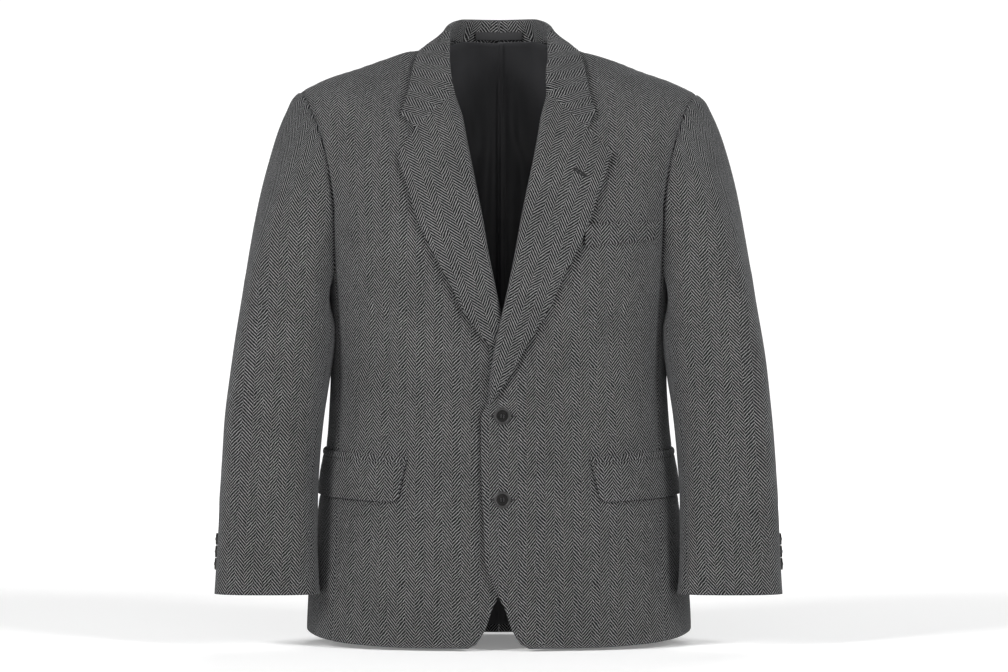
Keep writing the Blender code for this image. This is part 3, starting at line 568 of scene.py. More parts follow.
def body_width(y, z):
    """Half width of the torso's inner face at depth y."""
    deep = np.where(y < 0, along(TORSO, 2, z), along(TORSO, 3, z)) - CLOTH
    return (along(TORSO, 1, z) - CLOTH) * rounding(y / deep)


def beside_body(side, points):
    """The same points, moved out of the body's way below the armhole."""
    points = points.copy()
    least = body_width(points[..., 1], points[..., 2]) + 2 * CLOTH + ARM_CLEAR
    least = least - (1 - ease((ARMHOLE_FRONT_END - points[..., 2]) / 0.02)) * 0.05
    points[..., 0] = side * np.maximum(side * points[..., 0], least)
    return points


def sleeve(side, turn, down):
    """Point of the sleeve's inner face: down is 0 at the armhole, 1 where the tube starts, 2 at the cuff."""
    turn, down = arrays(turn, down)
    share = np.mod(turn / 360, 1.0)
    start = armhole(side, share)
    out, forward, fall = (along(HEAD, column, share) for column in (1, 2, 3))
    leave = points_at(side * out, -forward, -fall)
    start = start + unit(leave) * SEAM
    start = start + points_at(side * along(HEAD, 4, share), 0, 0)
    end = ring(side, turn, np.full(turn.shape, CAP_END))
    below = ring(side, turn, np.full(turn.shape, CAP_END - 0.01))
    arrive = (below - end) / 0.01 * np.linalg.norm(end - start, axis=-1, keepdims=True)
    u = np.clip(down, 0, 1)[..., None]
    head = (
        start * (1 + 2 * u) * (1 - u) ** 2 + end * u * u * (3 - 2 * u)
        + leave * u * (1 - u) ** 2 - arrive * u * u * (1 - u)
    )
    tube = ring(side, turn, mix(CAP_END, CUFF, np.clip(down - 1, 0, 1)))
    return beside_body(side, np.where(down[..., None] < 1, head, tube))


# ---------------------------------------------------------------- lapels and collar

def fold_places(side, z, x):
    """Leg and edge of a fold: points behind the front, at its edge, on the fold's crown, and in front."""
    edge = x + ROLL_INSET
    return (
        on_front(side, side * (edge + FOLD_LEG), z, -LOOSE),
        on_front(side, side * (edge - 0.0004), z, -LOOSE),
        on_front(side, side * (x + CLOTH), z, CLOTH / 2),
        on_front(side, side * (edge - 0.0004), z, CLOTH + LOOSE),
    )


def chest_line(side, tip, share):
    """Half width and height along the gorge seam from the roll, round the notch's corner, to a tip."""
    notch = NOTCH_LEFT if side > 0 else NOTCH_RIGHT
    start = (float(roll_edge(side, LAPEL_TOP)) + ROLL_INSET, LAPEL_TOP)
    keys = (0.0, NOTCH_SHARE, 1.0)
    return [np.interp(share, keys, (start[i], notch[i], tip[i])) for i in range(2)]


def float_rise(share):
    """Rise of a lapel or collar outside the front's inner face, by share of its way from the roll."""
    return CLOTH + LOOSE + LAPEL_RISE * ease(share / 0.8)


def lapel(side, rows=100):
    """Lapel, folded round the front's edge and laid back over the chest."""
    edge = LAPEL_LEFT if side > 0 else LAPEL_RIGHT
    end = -0.4190 if side > 0 else -0.3850
    down = even(rows)
    roll_z = mix(LAPEL_TOP - SEAM, end, down)
    edge_z = mix(edge[0][0], edge[-1][0], down)
    roll_x = roll_edge(side, roll_z)
    edge_x = along(edge, 1, edge_z)
    lines = list(fold_places(side, roll_z, roll_x))
    start = roll_x + ROLL_INSET
    tip = (edge_x[0], edge_z[0])
    for share in (0.18, 0.36, 0.52, NOTCH_SHARE, 0.84, 1.0):
        top_x, top_z = chest_line(side, tip, share)
        fade = (1 - down) ** 3
        x = mix(start, edge_x, share) + (top_x - mix(start[0], edge_x[0], share)) * fade
        z = mix(roll_z, edge_z, share) + (top_z - mix(roll_z[0], edge_z[0], share)) * fade
        flat = (float_rise(share) - CLOTH - LOOSE) * ease((1 - down) / 0.25)
        lines.append(on_front(side, side * x, z - SEAM * fade, CLOTH + LOOSE + flat))
    return np.stack(lines, axis=1)


def collar_half(side):
    """Lower edge of the stand, fold and outer edge of the fall, from the back to the notch."""
    top = LAPEL_TOP + GORGE
    x = float(roll_edge(side, top))
    behind, _, crown, _ = fold_places(side, top, x)
    behind[1] += 6 * EASE
    tip = on_front(side, side * COLLAR_TIP[0], COLLAR_TIP[1], float_rise(1.0))
    rows = np.array(COLLAR)
    places = [points_at(side * rows[:, c], rows[:, c + 1], rows[:, c + 2]) for c in (1, 4, 7)]
    stand, fold, edge = (
        np.vstack((place, last)) for place, last in zip(places, (behind, crown, tip))
    )
    return np.append(rows[:, 0], 1.0), stand, fold, edge


def outside(side, points):
    """The same points, moved in front of the front panel and behind the back panel."""
    points = points.copy()
    x, y, z = points[..., 0], points[..., 1], points[..., 2]
    off = CLOTH + 1.5 * LOOSE
    ahead = front_y(side, x, z - off) - off
    behind = back_y(x, z - off) + off
    points[..., 1] = np.where(y < 0, np.minimum(y, ahead), np.maximum(y, behind))
    return points


def collar_side(side, rows):
    """Half of the collar, from the middle of the back to the notch."""
    keys, stand, fold, edge = collar_half(side)
    at = even(rows)

    def smooth(places):
        return np.stack([along(np.column_stack((keys, places[:, c])), 1, at) for c in range(3)], axis=-1)

    stand, fold, edge = smooth(stand), smooth(fold), smooth(edge)
    crown = fold - (stand + edge) / 2
    crown = unit(crown)
    spread = edge - stand
    spread = unit(spread - crown * np.sum(spread * crown, axis=-1, keepdims=True))
    inner = fold - spread * COLLAR_SPREAD - crown * COLLAR_SPREAD
    outer = fold + spread * COLLAR_SPREAD - crown * COLLAR_SPREAD
    lines = [stand, mix(stand, inner, 0.5), inner, fold, outer]
    pull = (at ** 5)[:, None]
    for share in (0.20, 0.42, NOTCH_SHARE, 0.84, 1.0):
        straight = mix(outer, edge, share)
        bow = spread * (FALL_BOW * 4 * share * (1 - share))
        x, z = chest_line(side, COLLAR_TIP, share)
        last = on_front(side, side * x, z + GORGE, float_rise(share))
        lines.append(outside(side, straight + bow + (last - straight[-1] - bow[-1]) * pull))
        lines[-1][-1] = last
    return np.stack(lines, axis=1)


def collar(rows=90):
    """Whole collar, from notch to notch round the back of the neck."""
    left, right = collar_side(1, rows), collar_side(-1, rows)
    return np.concatenate((right[::-1], left[1:]), axis=0)


# ---------------------------------------------------------------- cloth laid on the forms

WEAVE_MAP = "Weave"     # the cloth's own flat coordinates, in metres
RIM_POLISH = "Rim polish"   # 1 on a button's polished rim, 0 in its matt dish
LAPEL_LEAN = 0.10       # turn of the lapel's weave from its roll, in radians
SHOULDER_DROP = 0.0031  # how much lower the left shoulder hangs at its armhole
PRESSED_IN = 0.0013     # how deep the edge of a piece above presses the cloth in
# The same beside some edges: share of that depth, reach
LAPEL_HOLLOW, COLLAR_HOLLOW, WELT_HOLLOW = (2.2, 0.0046), (0.9, 0.0036), (1.5, 0.0021)
JUST_BELOW = 0.0004     # step down from an edge to where its normal is taken
LEVELS = 260            # level slices through a sleeve, from which its weave is laid out
SEAM_DIP = 0.0009       # how deep a pressed seam draws the cloth in
SEAM_REACH = 0.0026
SET_IN = 0.0013         # how much deeper the armhole's seam lies
ARMHOLE_FOOT = -0.205   # where the front's armhole seam starts to lie deep
LOW_ARMHOLE = -0.115    # height below which the sleeve's seam is drawn in further
LOW_FADE = 0.06
SLEEVE_MIDDLE = 0.2525  # half width of the sleeve's plumb line in its head, in front and behind
EASED_COLUMNS = 30      # columns beside the sleeve's centre over which its head is eased in
UNDER_EDGE = 0.0185     # half width at which the right front is pressed under the left front's edge
PUCKER = 0.00022        # ripple of the cloth beside a sewn seam
PUCKER_REACH = 0.012

# Creases: from (across, height) to (across, height), half width, rise. Across is x, or on sleeves a
# thousandth of the angle round in degrees; a negative rise is a trough.
FRONT_LEFT_CREASES = (
    (0.030, -0.4350, 0.120, -0.4100, 0.0080, -0.0007),
    (0.034, -0.4420, 0.150, -0.4560, 0.0095, 0.0008),
    (0.160, -0.1400, 0.176, -0.2500, 0.0140, 0.0018),
    (0.184, -0.2300, 0.150, -0.3300, 0.0160, -0.0012),
    (0.110, -0.5650, 0.104, -0.6800, 0.0200, 0.0014),
    (0.060, -0.5600, 0.052, -0.6950, 0.0180, -0.0010),
)
FRONT_RIGHT_CREASES = (
    (0.024, -0.4300, 0.105, -0.4020, 0.0090, -0.0008),
    (0.030, -0.4460, 0.140, -0.4620, 0.0085, 0.0007),
    (0.156, -0.1300, 0.172, -0.2300, 0.0150, 0.0020),
    (0.180, -0.2450, 0.158, -0.3500, 0.0150, -0.0014),
    (0.128, -0.5700, 0.136, -0.6750, 0.0170, 0.0011),
    (0.070, -0.5450, 0.064, -0.6900, 0.0220, -0.0010),
)
BACK_CREASES = (
    (0.020, -0.0300, 0.110, -0.0520, 0.0100, 0.0010),
    (0.150, -0.1500, 0.176, -0.2400, 0.0140, 0.0020),
    (0.120, -0.2100, 0.140, -0.3300, 0.0160, -0.0013),
    (0.050, -0.4100, 0.150, -0.3850, 0.0110, -0.0012),
    (0.060, -0.4280, 0.140, -0.4420, 0.0120, 0.0011),
    (0.080, -0.5400, 0.086, -0.6900, 0.0200, 0.0016),
)
SLEEVE_CREASES = (
    (0.070, -0.3500, 0.146, -0.3380, 0.0080, -0.0016),
    (0.062, -0.3850, 0.140, -0.3640, 0.0085, 0.0012),
    (0.074, -0.4120, 0.146, -0.4010, 0.0070, -0.0012),
    (-0.040, -0.1500, -0.010, -0.2700, 0.0170, -0.0013),
    (0.034, -0.1300, 0.046, -0.2500, 0.0150, 0.0014),
    (-0.070, -0.3000, -0.030, -0.3900, 0.0140, 0.0012),
    (0.020, -0.4900, 0.056, -0.5700, 0.0150, -0.0009),
    (-0.030, -0.4400, 0.000, -0.5400, 0.0180, 0.0010),
)
YOKE = -0.0128          # height of the seam under the lining's yoke
LINING_LEFT_CREASES = (
    (0.0165, -0.0215, 0.0015, -0.0410, 0.0022, -0.0011),
    (0.0240, -0.0300, 0.0280, -0.1300, 0.0080, 0.0016),
    (0.0100, -0.0620, 0.0380, -0.1700, 0.0065, -0.0012),
    (0.0280, -0.0900, 0.0300, -0.2300, 0.0080, -0.0016),
    (0.0160, -0.1500, 0.0200, -0.3400, 0.0060, 0.0012),
    (0.0900, -0.3000, 0.0300, -0.4100, 0.0140, 0.0015),
    (0.1100, -0.5000, 0.0950, -0.6600, 0.0170, -0.0016),
    (0.0500, -0.4600, 0.0460, -0.6700, 0.0120, 0.0014),
)
LINING_RIGHT_CREASES = (
    (0.0330, -0.0300, 0.0200, -0.1200, 0.0080, 0.0013),
    (0.0120, -0.0900, 0.0240, -0.2600, 0.0070, -0.0013),
    (0.0400, -0.1100, 0.0260, -0.2700, 0.0100, 0.0015),
    (0.0700, -0.3200, 0.0300, -0.4300, 0.0140, 0.0014),
    (0.1000, -0.4800, 0.0850, -0.6500, 0.0160, -0.0015),
    (0.0440, -0.5000, 0.0400, -0.6700, 0.0110, 0.0013),
)
DART = (0.1256, -0.2990, -0.3990)   # half width, height of its top, height of its foot
DART_DEPTH = 0.0007
VENT = (-9.0, -0.5450)              # angle of the cuff's vent, height of its top


def creased(across, z, table, scale=1.0):
    """Rise of the cloth from a table of creases, each soft at its ends and steeper on one side."""
    total = np.zeros(np.broadcast(across, z).shape)
    for number, (x0, z0, x1, z1, wide, rise) in enumerate(table):
        dx, dz = (x1 - x0) * scale, z1 - z0
        px, pz = (across - x0) * scale, z - z0
        share = np.clip((px * dx + pz * dz) / (dx * dx + dz * dz), 0, 1)
        away = np.hypot(px - share * dx, pz - share * dz)
        lean = 1 + 0.25 * np.sign((px - share * dx) * dz - (pz - share * dz) * dx) * (-1) ** number
        total += rise * bell(away, wide * lean) * np.sqrt(np.clip(4 * share * (1 - share), 0.0, 1))
    return total


def unrest(points, rise, seed):
    """Low, slow unevenness of worn cloth, the same at every run."""
    x, y, z = points[..., 0], points[..., 1], points[..., 2]
    a = np.sin(31 * z + 17 * x + 1.7 * seed) * np.cos(23 * x - 19 * y + 0.9 * seed)
    b = np.sin(67 * z - 29 * y + 2.3 * seed) * np.sin(53 * x + 0.6 * seed)
    return rise * (0.65 * a + 0.35 * b)


def summed(step):
    """Sums of the steps before each row, and of all of them."""
    return np.concatenate((np.zeros_like(step[:1]), np.cumsum(step, axis=0)))


def steps_along(grid, axis):
    """Length along each row (axis 1) or column (axis 0) of a grid, from its first point."""
    step = np.linalg.norm(np.diff(grid, axis=axis), axis=-1)
    return summed(step) if axis == 0 else summed(step.T).T


def from_edges(grid):
    """Distance of each point from the grid's left, right, top and bottom edges, along its lines."""
    across, down = steps_along(grid, 1), steps_along(grid, 0)
    return {
        "left": across, "right": across[:, -1:] - across,
        "top": down, "bottom": down[-1:] - down,
    }


def pressed(grid, seams, seed):
    """Dip of the cloth towards its sewn edges, with the faint pucker beside them."""
    edges = from_edges(grid)
    total = np.zeros(grid.shape[:2])
    for name in seams:
        away = edges[name]
        length = edges["top"] if name in ("left", "right") else edges["left"]
        ripple = np.sin(length * 430 + 2.0 * np.sin(length * 57 + seed)) * np.sin(length * 31 + 1.3 * seed)
        total -= SEAM_DIP * bell(away, SEAM_REACH)
        total += PUCKER * ripple * bell(away, PUCKER_REACH) * (1 - bell(away, 0.002))
    return total


def facing(grid, outward):
    """Unit normals of a grid's points, on the side that outward points to at its middle."""
    down, across = np.gradient(grid, axis=0), np.gradient(grid, axis=1)
    normal = np.cross(across, down)
    normal /= np.maximum(np.linalg.norm(normal, axis=-1, keepdims=True), 1e-12)
    r, c = grid.shape[0] // 2, grid.shape[1] // 2
    return normal if np.dot(normal[r, c], outward) > 0 else -normal


def leant(grid, normal, edge, other):
    """The normals, leaning near one edge towards those of the piece that is sewn on there."""
    near = bell(from_edges(grid)[edge], 0.0045)[..., None]
    return unit(normal + (other - normal) * near)


def shoulder_normals(side, x):
    """Normals of the front and the back where they meet along the shoulder."""
    x = side * np.asarray(x, float)
    front_z, back_z = (along(SHOULDER, column, np.abs(x)) - CLOTH - JUST_BELOW for column in (1, 2))
    return outward(on_front, side, x, front_z), outward(on_back, x, back_z)


def armhole_normals(side, share):
    """Normals of the body round the armhole, by share of the way round it."""
    point = armhole(side, share)
    x, z = point[..., 0], point[..., 2]
    front, back = outward(on_front, side, x, z - JUST_BELOW), outward(on_back, x, z - JUST_BELOW)
    turn = angle_at(x, z)
    low = outward(on_side, side, np.where(point[..., 1] > 0, 180 - turn, turn), z)
    near_tip = 0.5 * bell(ARMHOLE[0][0] - z, 0.0045)[..., None]
    ahead, behind = front + (back - front) * near_tip, back + (front - back) * near_tip
    return unit(by_share(share, ahead, low, behind))


def respaced(grid, shares_at, axis=0):
    """The grid with its lines placed anew, on smooth curves through the old ones."""
    grid = np.swapaxes(grid, 0, axis)
    step = np.linalg.norm(np.diff(grid, axis=0), axis=-1).mean(axis=1)
    keys = np.concatenate(([0.0], np.cumsum(step)))
    keys /= keys[-1]
    gap = np.diff(keys)[:, None, None]
    slope = np.diff(grid, axis=0) / gap
    inner = (slope[:-1] * gap[1:] + slope[1:] * gap[:-1]) / (gap[1:] + gap[:-1])
    tangent = np.concatenate((slope[:1], inner, slope[-1:]))
    i = np.clip(np.searchsorted(keys, shares_at, side="right") - 1, 0, len(keys) - 2)
    u = ((shares_at - keys[i]) / np.diff(keys)[i])[:, None, None]
    return np.swapaxes(curve_through(grid, tangent, gap, i, u), 0, axis)


def front_panel(side):
    """A front's inner face, with the rise of its creases, dart and seams, and its flat coordinates."""
    x, z = front_places(side)
    grid = points_at(side * x, front_y(side, side * x, z), z)
    rise = creased(x, z, FRONT_LEFT_CREASES if side > 0 else FRONT_RIGHT_CREASES)
    in_dart = ease((z - DART[2]) / 0.02) * ease((DART[1] - z) / 0.02)
    rise = rise - DART_DEPTH * in_dart * bell(x - DART[0], 0.0016)
    rise = rise + pressed(grid, ("right", "top"), side) + unrest(grid, 0.0005, side)
    edges = from_edges(grid)
    low = ease((LOW_ARMHOLE - z) / LOW_FADE)
    rise = rise - SET_IN * (1 + 0.5 * low) * bell(edges["right"], 0.0020) * ease((z - ARMHOLE_FOOT) / 0.02)
    rise = rise + beside_collar(side, x, edges["top"])
    rise = rise + beside_lapel(side, x, z) + beside_flap(angle_at(x, z), z)
    closed = ease((-0.415 - z) / 0.02)
    if side > 0:
        rise = rise + 0.0007 * closed * bell(edges["left"], 0.006)
    else:
        rise = rise - 0.0030 * closed * bell(np.maximum(x - UNDER_EDGE, 0.0), 0.0042)
    flat_x = x[:, :1] + steps_along(grid, 1) + 0.0030 * in_dart * ease((x - DART[0]) / 0.002)
    normal = leant(grid, facing(grid, (0, -1, 0)), "top", sum(shoulder_normals(side, x[0])) / 2)
    return grid, rise, (flat_x, cloth_height(grid)), normal


def beside_collar(side, x, down):
    """Rise of the right shoulder up to the collar's edge; the left one slopes down to its armhole instead."""
    if side > 0:
        outer = 0.3 + 0.7 * ease((x - 0.09) / 0.11)
        return -SHOULDER_DROP * outer * ease((x - 0.095) / 0.01) * bell(down, 0.045)
    return 0.0012 * ease((x - 0.0985) / 0.010) * ease((0.145 - x) / 0.035) * bell(down, 0.014)


def beside_lapel(side, x, z):
    """Hollow pressed into the chest along the outer edges of the lapel and the collar, and round the welt."""
    lapel_edge = np.array(LAPEL_LEFT if side > 0 else LAPEL_RIGHT)[:, 1::-1]
    collar_edge = np.vstack((np.array(COLLAR)[5:, 7::2], COLLAR_TIP))
    welt = np.array(WELT)
    welt = np.vstack((welt[:, :2], welt[::-1, ::2], welt[:1, :2]))
    edges = ((lapel_edge, LAPEL_HOLLOW), (collar_edge, COLLAR_HOLLOW), (welt, WELT_HOLLOW))[:2 + (side > 0)]
    return -sum(depth * PRESSED_IN * bell(distance_to(line, x, z), reach) for line, (depth, reach) in edges)


def distance_to(line, x, z):
    """Distance of points from a line of straight runs, in half width and height."""
    away = np.full(np.broadcast(x, z).shape, 1.0)
    for start, end in zip(line[:-1], line[1:]):
        run = end - start
        share = np.clip(((x - start[0]) * run[0] + (z - start[1]) * run[1]) / (run @ run), 0, 1)
        away = np.minimum(away, np.hypot(x - start[0] - share * run[0], z - start[1] - share * run[1]))
    return away


def beside_flap(angle, z):
    """Hollow pressed into the body round the flap's front and lower edges."""
    front = float(angle_at(*FLAP_FRONT))
    degree = 0.01 / (float(angle_at(FLAP_FRONT[0] + 0.01, FLAP_FRONT[1])) - front)
    top = mix(FLAP_FRONT[1], FLAP_BACK[1], (angle - front) / (FLAP_BACK[0] - front))
    beyond = (front - angle) * degree + FLAP_TILT * (top - z) / FLAP_DROP + FLAP_ROUND
    below = top - FLAP_DROP - z + FLAP_ROUND
    corner = np.hypot(np.maximum(beyond, 0), np.maximum(below, 0)) + np.minimum(np.maximum(beyond, below), 0)
    shown = ease((top + 0.001 - z) / 0.004) * ease((FLAP_BACK[0] + 1.0 - angle) / 2.0)
    jetting = np.hypot(np.maximum(front - 0.2 - angle, 0) * degree, z - top - JETTING - 0.0006)
    above = 1.6 * bell(jetting, 0.0018) * ease((FLAP_BACK[0] + 1.5 - angle) / 1.0)
    return -PRESSED_IN * (above + shown * bell(corner - FLAP_ROUND, 0.0032))


def cloth_height(grid):
    """Height of each point in the flat cloth, measured up from the grid's last row."""
    down = steps_along(grid, 0)
    return grid[-1:, :, 2] + down[-1:] - down


def back_panel(side):
    """A half of the back, as front_panel gives a front."""
    x, z = back_places()
    grid = points_at(side * x, back_y(x, z), z)
    rise = creased(x + 0.006 * (side < 0), z + 0.009 * (side < 0), BACK_CREASES)
    rise = rise * ease(x / 0.02) + pressed(grid, ("left", "right", "top"), 3 + side)
    rise = rise + beside_collar(side, x, from_edges(grid)["top"])
    normal = leant(grid, facing(grid, (0, 1, 0)), "top", sum(shoulder_normals(side, x[0])) / 2)
    return grid, rise + unrest(grid, 0.0006, 5), (steps_along(grid, 1), cloth_height(grid)), normal


def side_panel(side):
    """A side body, as front_panel gives a front."""
    angle, z = side_places(side)
    grid = around(side, angle, z)
    rise = pressed(grid, ("left", "right"), 6 + side) + unrest(grid, 0.0005, 7 + side) + beside_flap(angle, z)
    across = steps_along(grid, 1)
    centre = grid.shape[1] // 2
    flat_places = (across - across[:, centre:centre + 1], cloth_height(grid))
    return grid, rise, flat_places, facing(grid, (side, 0, 0))


def slices(grid):
    """Levels through a sleeve, the x and y at which each column meets them, and the steps between columns."""
    z = grid[..., 2]
    levels = np.linspace(z.min(), z.max(), LEVELS)
    columns = range(grid.shape[1])
    places = np.array([
        [np.interp(levels, z[::-1, j], grid[::-1, j, axis]) for axis in (0, 1)] for j in columns])
    return levels, places, np.hypot(np.diff(places[:, 0], axis=0), np.diff(places[:, 1], axis=0))


def read_back(grid, centre, levels, total):
    """Length round and height in the flat cloth of each point, from the lengths round each level."""
    z = grid[..., 2]
    round_it = np.stack([np.interp(z[:, j], levels, total[j]) for j in range(grid.shape[1])], axis=1)
    down = steps_along(grid, 0)[:, centre]
    return round_it, np.interp(z, z[::-1, centre], z[-1, centre] + down[-1] - down[::-1])


def sliced(grid, centre):
    """Length round each level slice of a sleeve from its centre column, and height in the flat cloth.

    In the head the columns hang plumb in front and behind, and the fullness between is eased in.
    """
    levels, places, step = slices(grid)
    total = summed(step)
    total = total - total[centre]
    for ahead, columns in ((1, slice(centre, None)), (-1, slice(0, centre + 1))):
        x, run = np.abs(places[columns, 0])[::ahead], np.abs(total[columns])[::ahead]
        plumb = np.where(levels > CAP_END, SLEEVE_MIDDLE, SLEEVE_MIDDLE - 0.066 * (levels - CAP_END))
        reach = np.array([np.interp(-plumb[i], -x[:, i], run[:, i]) for i in range(len(levels))])
        reach = np.convolve(np.pad(reach, 8, mode="edge"), np.ones(17) / 17, mode="valid")
        share = ease(np.abs(np.arange(grid.shape[1])[columns] - centre) / EASED_COLUMNS)
        total[columns] += -ahead * 0.9 * (reach - reach[0])[None, :] * share[:, None]
    return read_back(grid, centre, levels, total)


def sliced_under(grid, centre):
    """The same for the under sleeve, whose middle starts at the foot of the armhole.

    Above the foot there are two arms, which hang plumb beside it.
    """
    foot = grid[0, centre, 2]
    levels, places, step = slices(grid)
    there = levels <= grid[0, :, 2, None] + 0.004
    total = summed(step * (there[1:] & there[:-1]))
    low = np.minimum(levels, foot)
    arms = []
    for end, sign in ((0, -1), (-1, 1)):
        run = np.abs(total - total[end])
        half = np.interp(low, levels, run[centre])
        wide = np.abs(places[end, 0])
        arms.append(sign * (half + wide - np.interp(low, levels, wide) - run))
    first = np.arange(grid.shape[1])[:, None] <= centre
    round_it, height = read_back(grid, centre, levels, np.where(first, *arms))
    return round_it, height + 1.02 * np.maximum(grid[..., 2] - foot, 0)


def sleeve_panel(side, start, end, columns):
    """A sleeve's piece between two of its seams, as front_panel gives a front.

    Its first row is the seam allowance, turned in under the body's edge.
    """
    turn = np.linspace(start, end, columns + 1)[None, :]
    down = np.concatenate((even(63)[:-1] ** 1.25, 1 + even(89)))[:, None]
    grid = sleeve(side, turn, down)
    round_it = turn + 0 * down
    lean = np.where(round_it > 180, round_it - 360, round_it) / 1000
    rise = creased(lean + 0.004 * (side < 0), grid[..., 2] + 0.007 * (side < 0), SLEEVE_CREASES, 0.9)
    edges = from_edges(grid)
    head = ease(1 - np.abs(round_it) / 75) * bell(edges["top"] - 0.013, 0.010)
    vent = ease((VENT[1] - grid[..., 2]) / 0.006) * bell(round_it - VENT[0], 1.1)
    rise = rise + 0.0016 * head - 0.0009 * vent
    if side > 0 and start < 0:
        top = grid[0, np.argmax(grid[0, :, 2])]
        round_head = np.linalg.norm(grid[:1] - top, axis=-1)
        rise = rise - SHOULDER_DROP * np.exp(-((round_head / 0.045) ** 2) - (edges["top"] / 0.015) ** 2)
    rise = rise + pressed(grid, ("left", "right", "top"), 9 + side) + unrest(grid, 0.0006, 11 + side)
    low = ease((LOW_ARMHOLE - grid[..., 2]) / LOW_FADE)
    rise = rise - SET_IN * (1 + 1.3 * low) * bell(edges["top"], 0.0016 + 0.0010 * low)
    centre = int(np.argmin(np.abs(turn[0]))) if start < 0 else columns // 2
    body = armhole_normals(side, np.mod(turn[0] / 360, 1.0))
    normal = facing(grid, (side if start < 0 else -side, 0, 0))
    normal = leant(grid, normal, "top", body)
    laid_out = sliced if start < 0 else sliced_under
    across, height = laid_out(grid + normal * (CLOTH + rise)[..., None], centre)
    away = grid[1] - grid[0]
    under = grid[0] - unit(away) * 0.0030 - body * (CLOTH + 0.0008)
    grid, normal = np.vstack((under[None], grid)), np.vstack((body[None], normal))
    turned_in = 0.0040 / np.linalg.norm(away, axis=-1)
    across, height = (
        np.vstack((part[0] + (part[0] - part[1]) * turned_in, part)) for part in (across, height))
    return grid, np.vstack((rise[:1], rise)), (side * across, height), normal


# ---------------------------------------------------------------- folded pieces

def unrolled(grid, normal, first):
    """Flat places of points, as complex numbers: one column is laid out, then each next one beside it."""
    ahead, up = np.diff(grid[:, first], axis=0), normal[1:-1, first]
    before, after = (
        part - up * np.sum(part * up, axis=-1, keepdims=True) for part in (ahead[:-1], ahead[1:]))
    turn = np.arctan2(np.sum(up * np.cross(before, after), axis=-1), np.sum(before * after, axis=-1))
    turn = np.convolve(np.pad(turn, 5, mode="symmetric"), np.ones(11) / 11, mode="valid")
    heading = np.exp(1j * np.concatenate(((0.0,), np.cumsum(turn))))
    flat = np.zeros(grid.shape[:2], complex)
    flat[1:, first] = np.cumsum(np.linalg.norm(ahead, axis=-1) * heading)
    beside = grid[:, first + 1] - grid[:, first]
    inwards = np.cross(normal[:, first], np.gradient(grid[:, first], axis=0))
    hand = np.sign(np.mean(np.sum(inwards * beside, axis=-1)))
    for way, columns in ((1, range(first, grid.shape[1] - 1)), (-1, range(first, 0, -1))):
        for c in columns:
            tangent, course = unit(np.gradient(grid[:, c], axis=0)), np.gradient(flat[:, c])
            step = grid[:, c + way] - grid[:, c]
            along_it = np.sum(step * tangent, axis=-1)
            off = np.sqrt(np.maximum(np.sum(step * step, axis=-1) - along_it ** 2, 0.0))
            flat[:, c + way] = flat[:, c] + course / np.abs(course) * (along_it + 1j * hand * way * off)
    return flat


def lapel_cloth(side):
    """A lapel's under face, with its rise and its flat coordinates, which follow the roll."""
    grid = respaced(lapel(side), even(55), axis=1)
    fold, first = 10, 32    # columns at the lapel's fold, and where laying out starts
    end = np.clip((np.linspace(0, 1, len(grid)) - 0.91) / 0.09, 0, 1)[:, None, None]
    crown = grid[:, 8:9]
    grid = crown + (grid - crown) * (0.12 + 0.88 * np.sqrt(1 - end ** 2))
    rise = unrest(grid, 0.0004, 13 + side)
    normal = facing(grid, (0, -1, 0))
    flat = unrolled(grid + normal * (CLOTH + rise)[..., None], normal, first)
    run = flat[-8, fold] - flat[24, fold]
    flat = (flat - flat[24, fold]) * np.exp(1j * side * LAPEL_LEAN) * (abs(run) / run)
    return grid, rise, (-flat.imag + side * 0.004, -flat.real), normal


def collar_cloth():
    """The collar's under face; its columns run from the fold to its edge all the way round."""
    grid = respaced(collar(), even(43), axis=1)
    middle_row, first = grid.shape[0] // 2, 30
    normal = facing(grid, (0, 1, 0))
    flat = unrolled(grid + normal * CLOTH, normal, first)
    ahead = flat[middle_row + 1, first] - flat[middle_row - 1, first]
    flat = (flat - flat[middle_row, first]) * (abs(ahead) / ahead)
    x, y, to_edge = np.abs(grid[..., 0]), grid[..., 1], from_edges(grid)["right"]
    hug = 0.0016 * bell(to_edge, 0.006) * ease((0.100 - x) / 0.01) * ease((y + 0.085) / 0.03)
    over_shoulder = ease((x - 0.055) / 0.022) * ease((0.043 - to_edge) / 0.012) * ease((y + 0.045) / 0.03)
    rise = unrest(grid, 0.0004, 17) - hug - 0.0034 * over_shoulder
    return grid, rise, (flat.real, flat.imag), normal


# ---------------------------------------------------------------- what lies on the panels

def flap_cloth(side, rows=40, columns=64):
    """Pocket flap's under face, round the side of the body, with one rounded corner and a soft belly."""
    front = float(angle_at(*FLAP_FRONT))
    lean = float(angle_at(FLAP_FRONT[0] + FLAP_TILT, FLAP_FRONT[1] - FLAP_DROP)) - front
    across = even(columns) ** 1.5
    reach = np.clip(1 - across * FLAP_LENGTH / FLAP_ROUND, 0, 1)
    short = FLAP_ROUND * (1 - np.sqrt(1 - reach ** 2))
    down = even(rows)[:, None]
    angle = mix(front + lean * down, FLAP_BACK[0], across)
    z = mix(FLAP_FRONT[1], FLAP_BACK[1], across) - (FLAP_DROP - short) * down
    belly = 0.0013 * ease(down / 0.5) + 0.0006 * np.sin(across * 9 + side) * down ** 2
    grid = on_side(side, angle, z, CLOTH + 0.0006 + belly)
    rise = -0.0020 * bell(from_edges(grid)["top"], 0.0019) + unrest(grid, 0.0003, 19 + side)
    return grid, rise, (seam_to(side, angle, z), z + 0.0021), facing(grid, (side * 0.6, -0.8, 0))


def seam_to(side, angle, z):
    """Length round the body from the middle of the front to an angle."""
    places = [around(side, mix(0.5, angle, step), z) for step in even(23)]
    return sum(np.linalg.norm(here - last, axis=-1) for last, here in zip(places, places[1:]))


